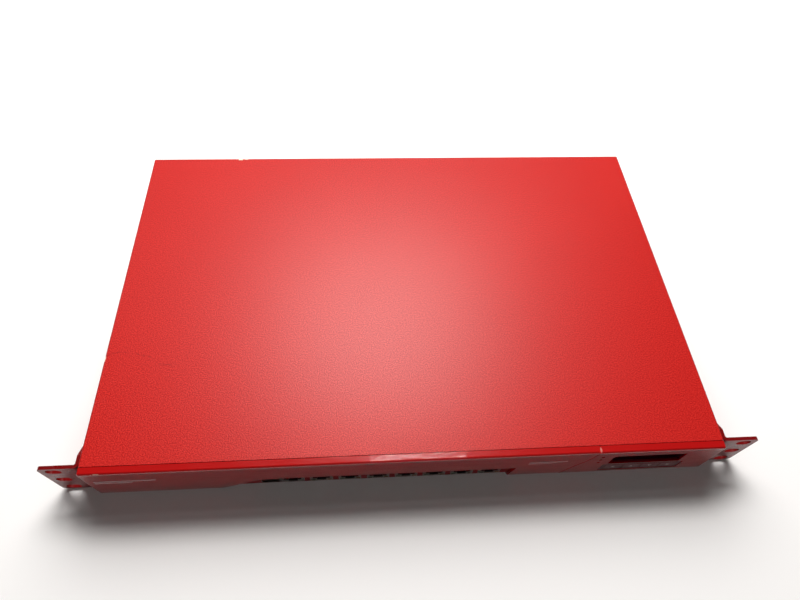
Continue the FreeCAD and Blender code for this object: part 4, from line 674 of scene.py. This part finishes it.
def addPanel(name, spot, aim, across, along, power, mirrored):
    light = bpy.data.lights.new(name, "AREA")
    light.shape = "RECTANGLE"
    light.size = across
    light.size_y = along
    light.energy = power
    light.color = (1.0, 0.97, 0.945)    # a little warm
    made = bpy.data.objects.new(name, light)
    made.location = spot
    made.visible_glossy = mirrored
    made.rotation_euler = (Vector(aim) - Vector(spot)).to_track_quat("-Z", "Y").to_euler()
    bpy.context.scene.collection.objects.link(made)


def makeRoom():
    # a soft sky that darkens overhead, two broad fills, and a panel and a thin line that lacquer mirrors
    room = {
        "horizon": 0.22, "zenith": 0.01, "skyFrom": 0.25, "skyTo": 0.6,
        "panels": [    # name, place, aim, size across, size along, power, whether it is mirrored
            ("softFill", (-0.1, 1.4, 1.35), (0.0, 0.1, 0.0), 2.4, 1.4, 58.0, False),
            ("ceilingPanel", (0.03, 0.66, 1.25), (0.03, 0.66, 0.0), 0.56, 0.52, 12.8, True),
            ("linePanel", (0.12, 0.252, 1.25), (0.12, 0.252, 0.0), 0.27, 0.008, 0.32, True),
            ("frontFill", (0.0, -1.8, 1.3), (0.0, 0.0, 0.0), 2.4, 1.0, 6.0, False),
        ],
    }
    scene = bpy.context.scene
    world = bpy.data.worlds.new("room")
    world.use_nodes = True
    back = next(n for n in world.node_tree.nodes if n.type == "BACKGROUND")
    tree = world.node_tree
    place = tree.nodes.new("ShaderNodeTexCoord")
    axes = tree.nodes.new("ShaderNodeSeparateXYZ")
    sky = tree.nodes.new("ShaderNodeMapRange")
    tree.links.new(place.outputs["Generated"], axes.inputs["Vector"])
    tree.links.new(axes.outputs["Z"], sky.inputs["Value"])
    for key, value in (("From Min", room["skyFrom"]), ("From Max", room["skyTo"]),
                       ("To Min", room["horizon"]), ("To Max", room["zenith"])):
        sky.inputs[key].default_value = value
    tree.links.new(sky.outputs["Result"], back.inputs["Strength"])
    scene.world = world
    for panel in room["panels"]:
        addPanel(*panel)
    scene.view_settings.view_transform = "Standard"
    scene.view_settings.look = "None"


def makeCamera():
    # the eye stands a hand's breadth in front of the bezel and looks down on the lid
    eye = {"lens": 25.87, "sensor": 36.0, "spot": (-0.0323, frontY - 0.1179, 0.4172),
           "turn": (33.44, -2.52, -3.29)}
    camera = bpy.data.cameras.new("eye")
    camera.lens = eye["lens"]
    camera.sensor_width = eye["sensor"]
    camera.clip_start = 0.01
    made = bpy.data.objects.new("eye", camera)
    made.location = eye["spot"]
    made.rotation_euler = [math.radians(a) for a in eye["turn"]]
    bpy.context.scene.collection.objects.link(made)
    bpy.context.scene.camera = made


print("room: floor, light, camera")
makeFloor()
makeRoom()
makeCamera()
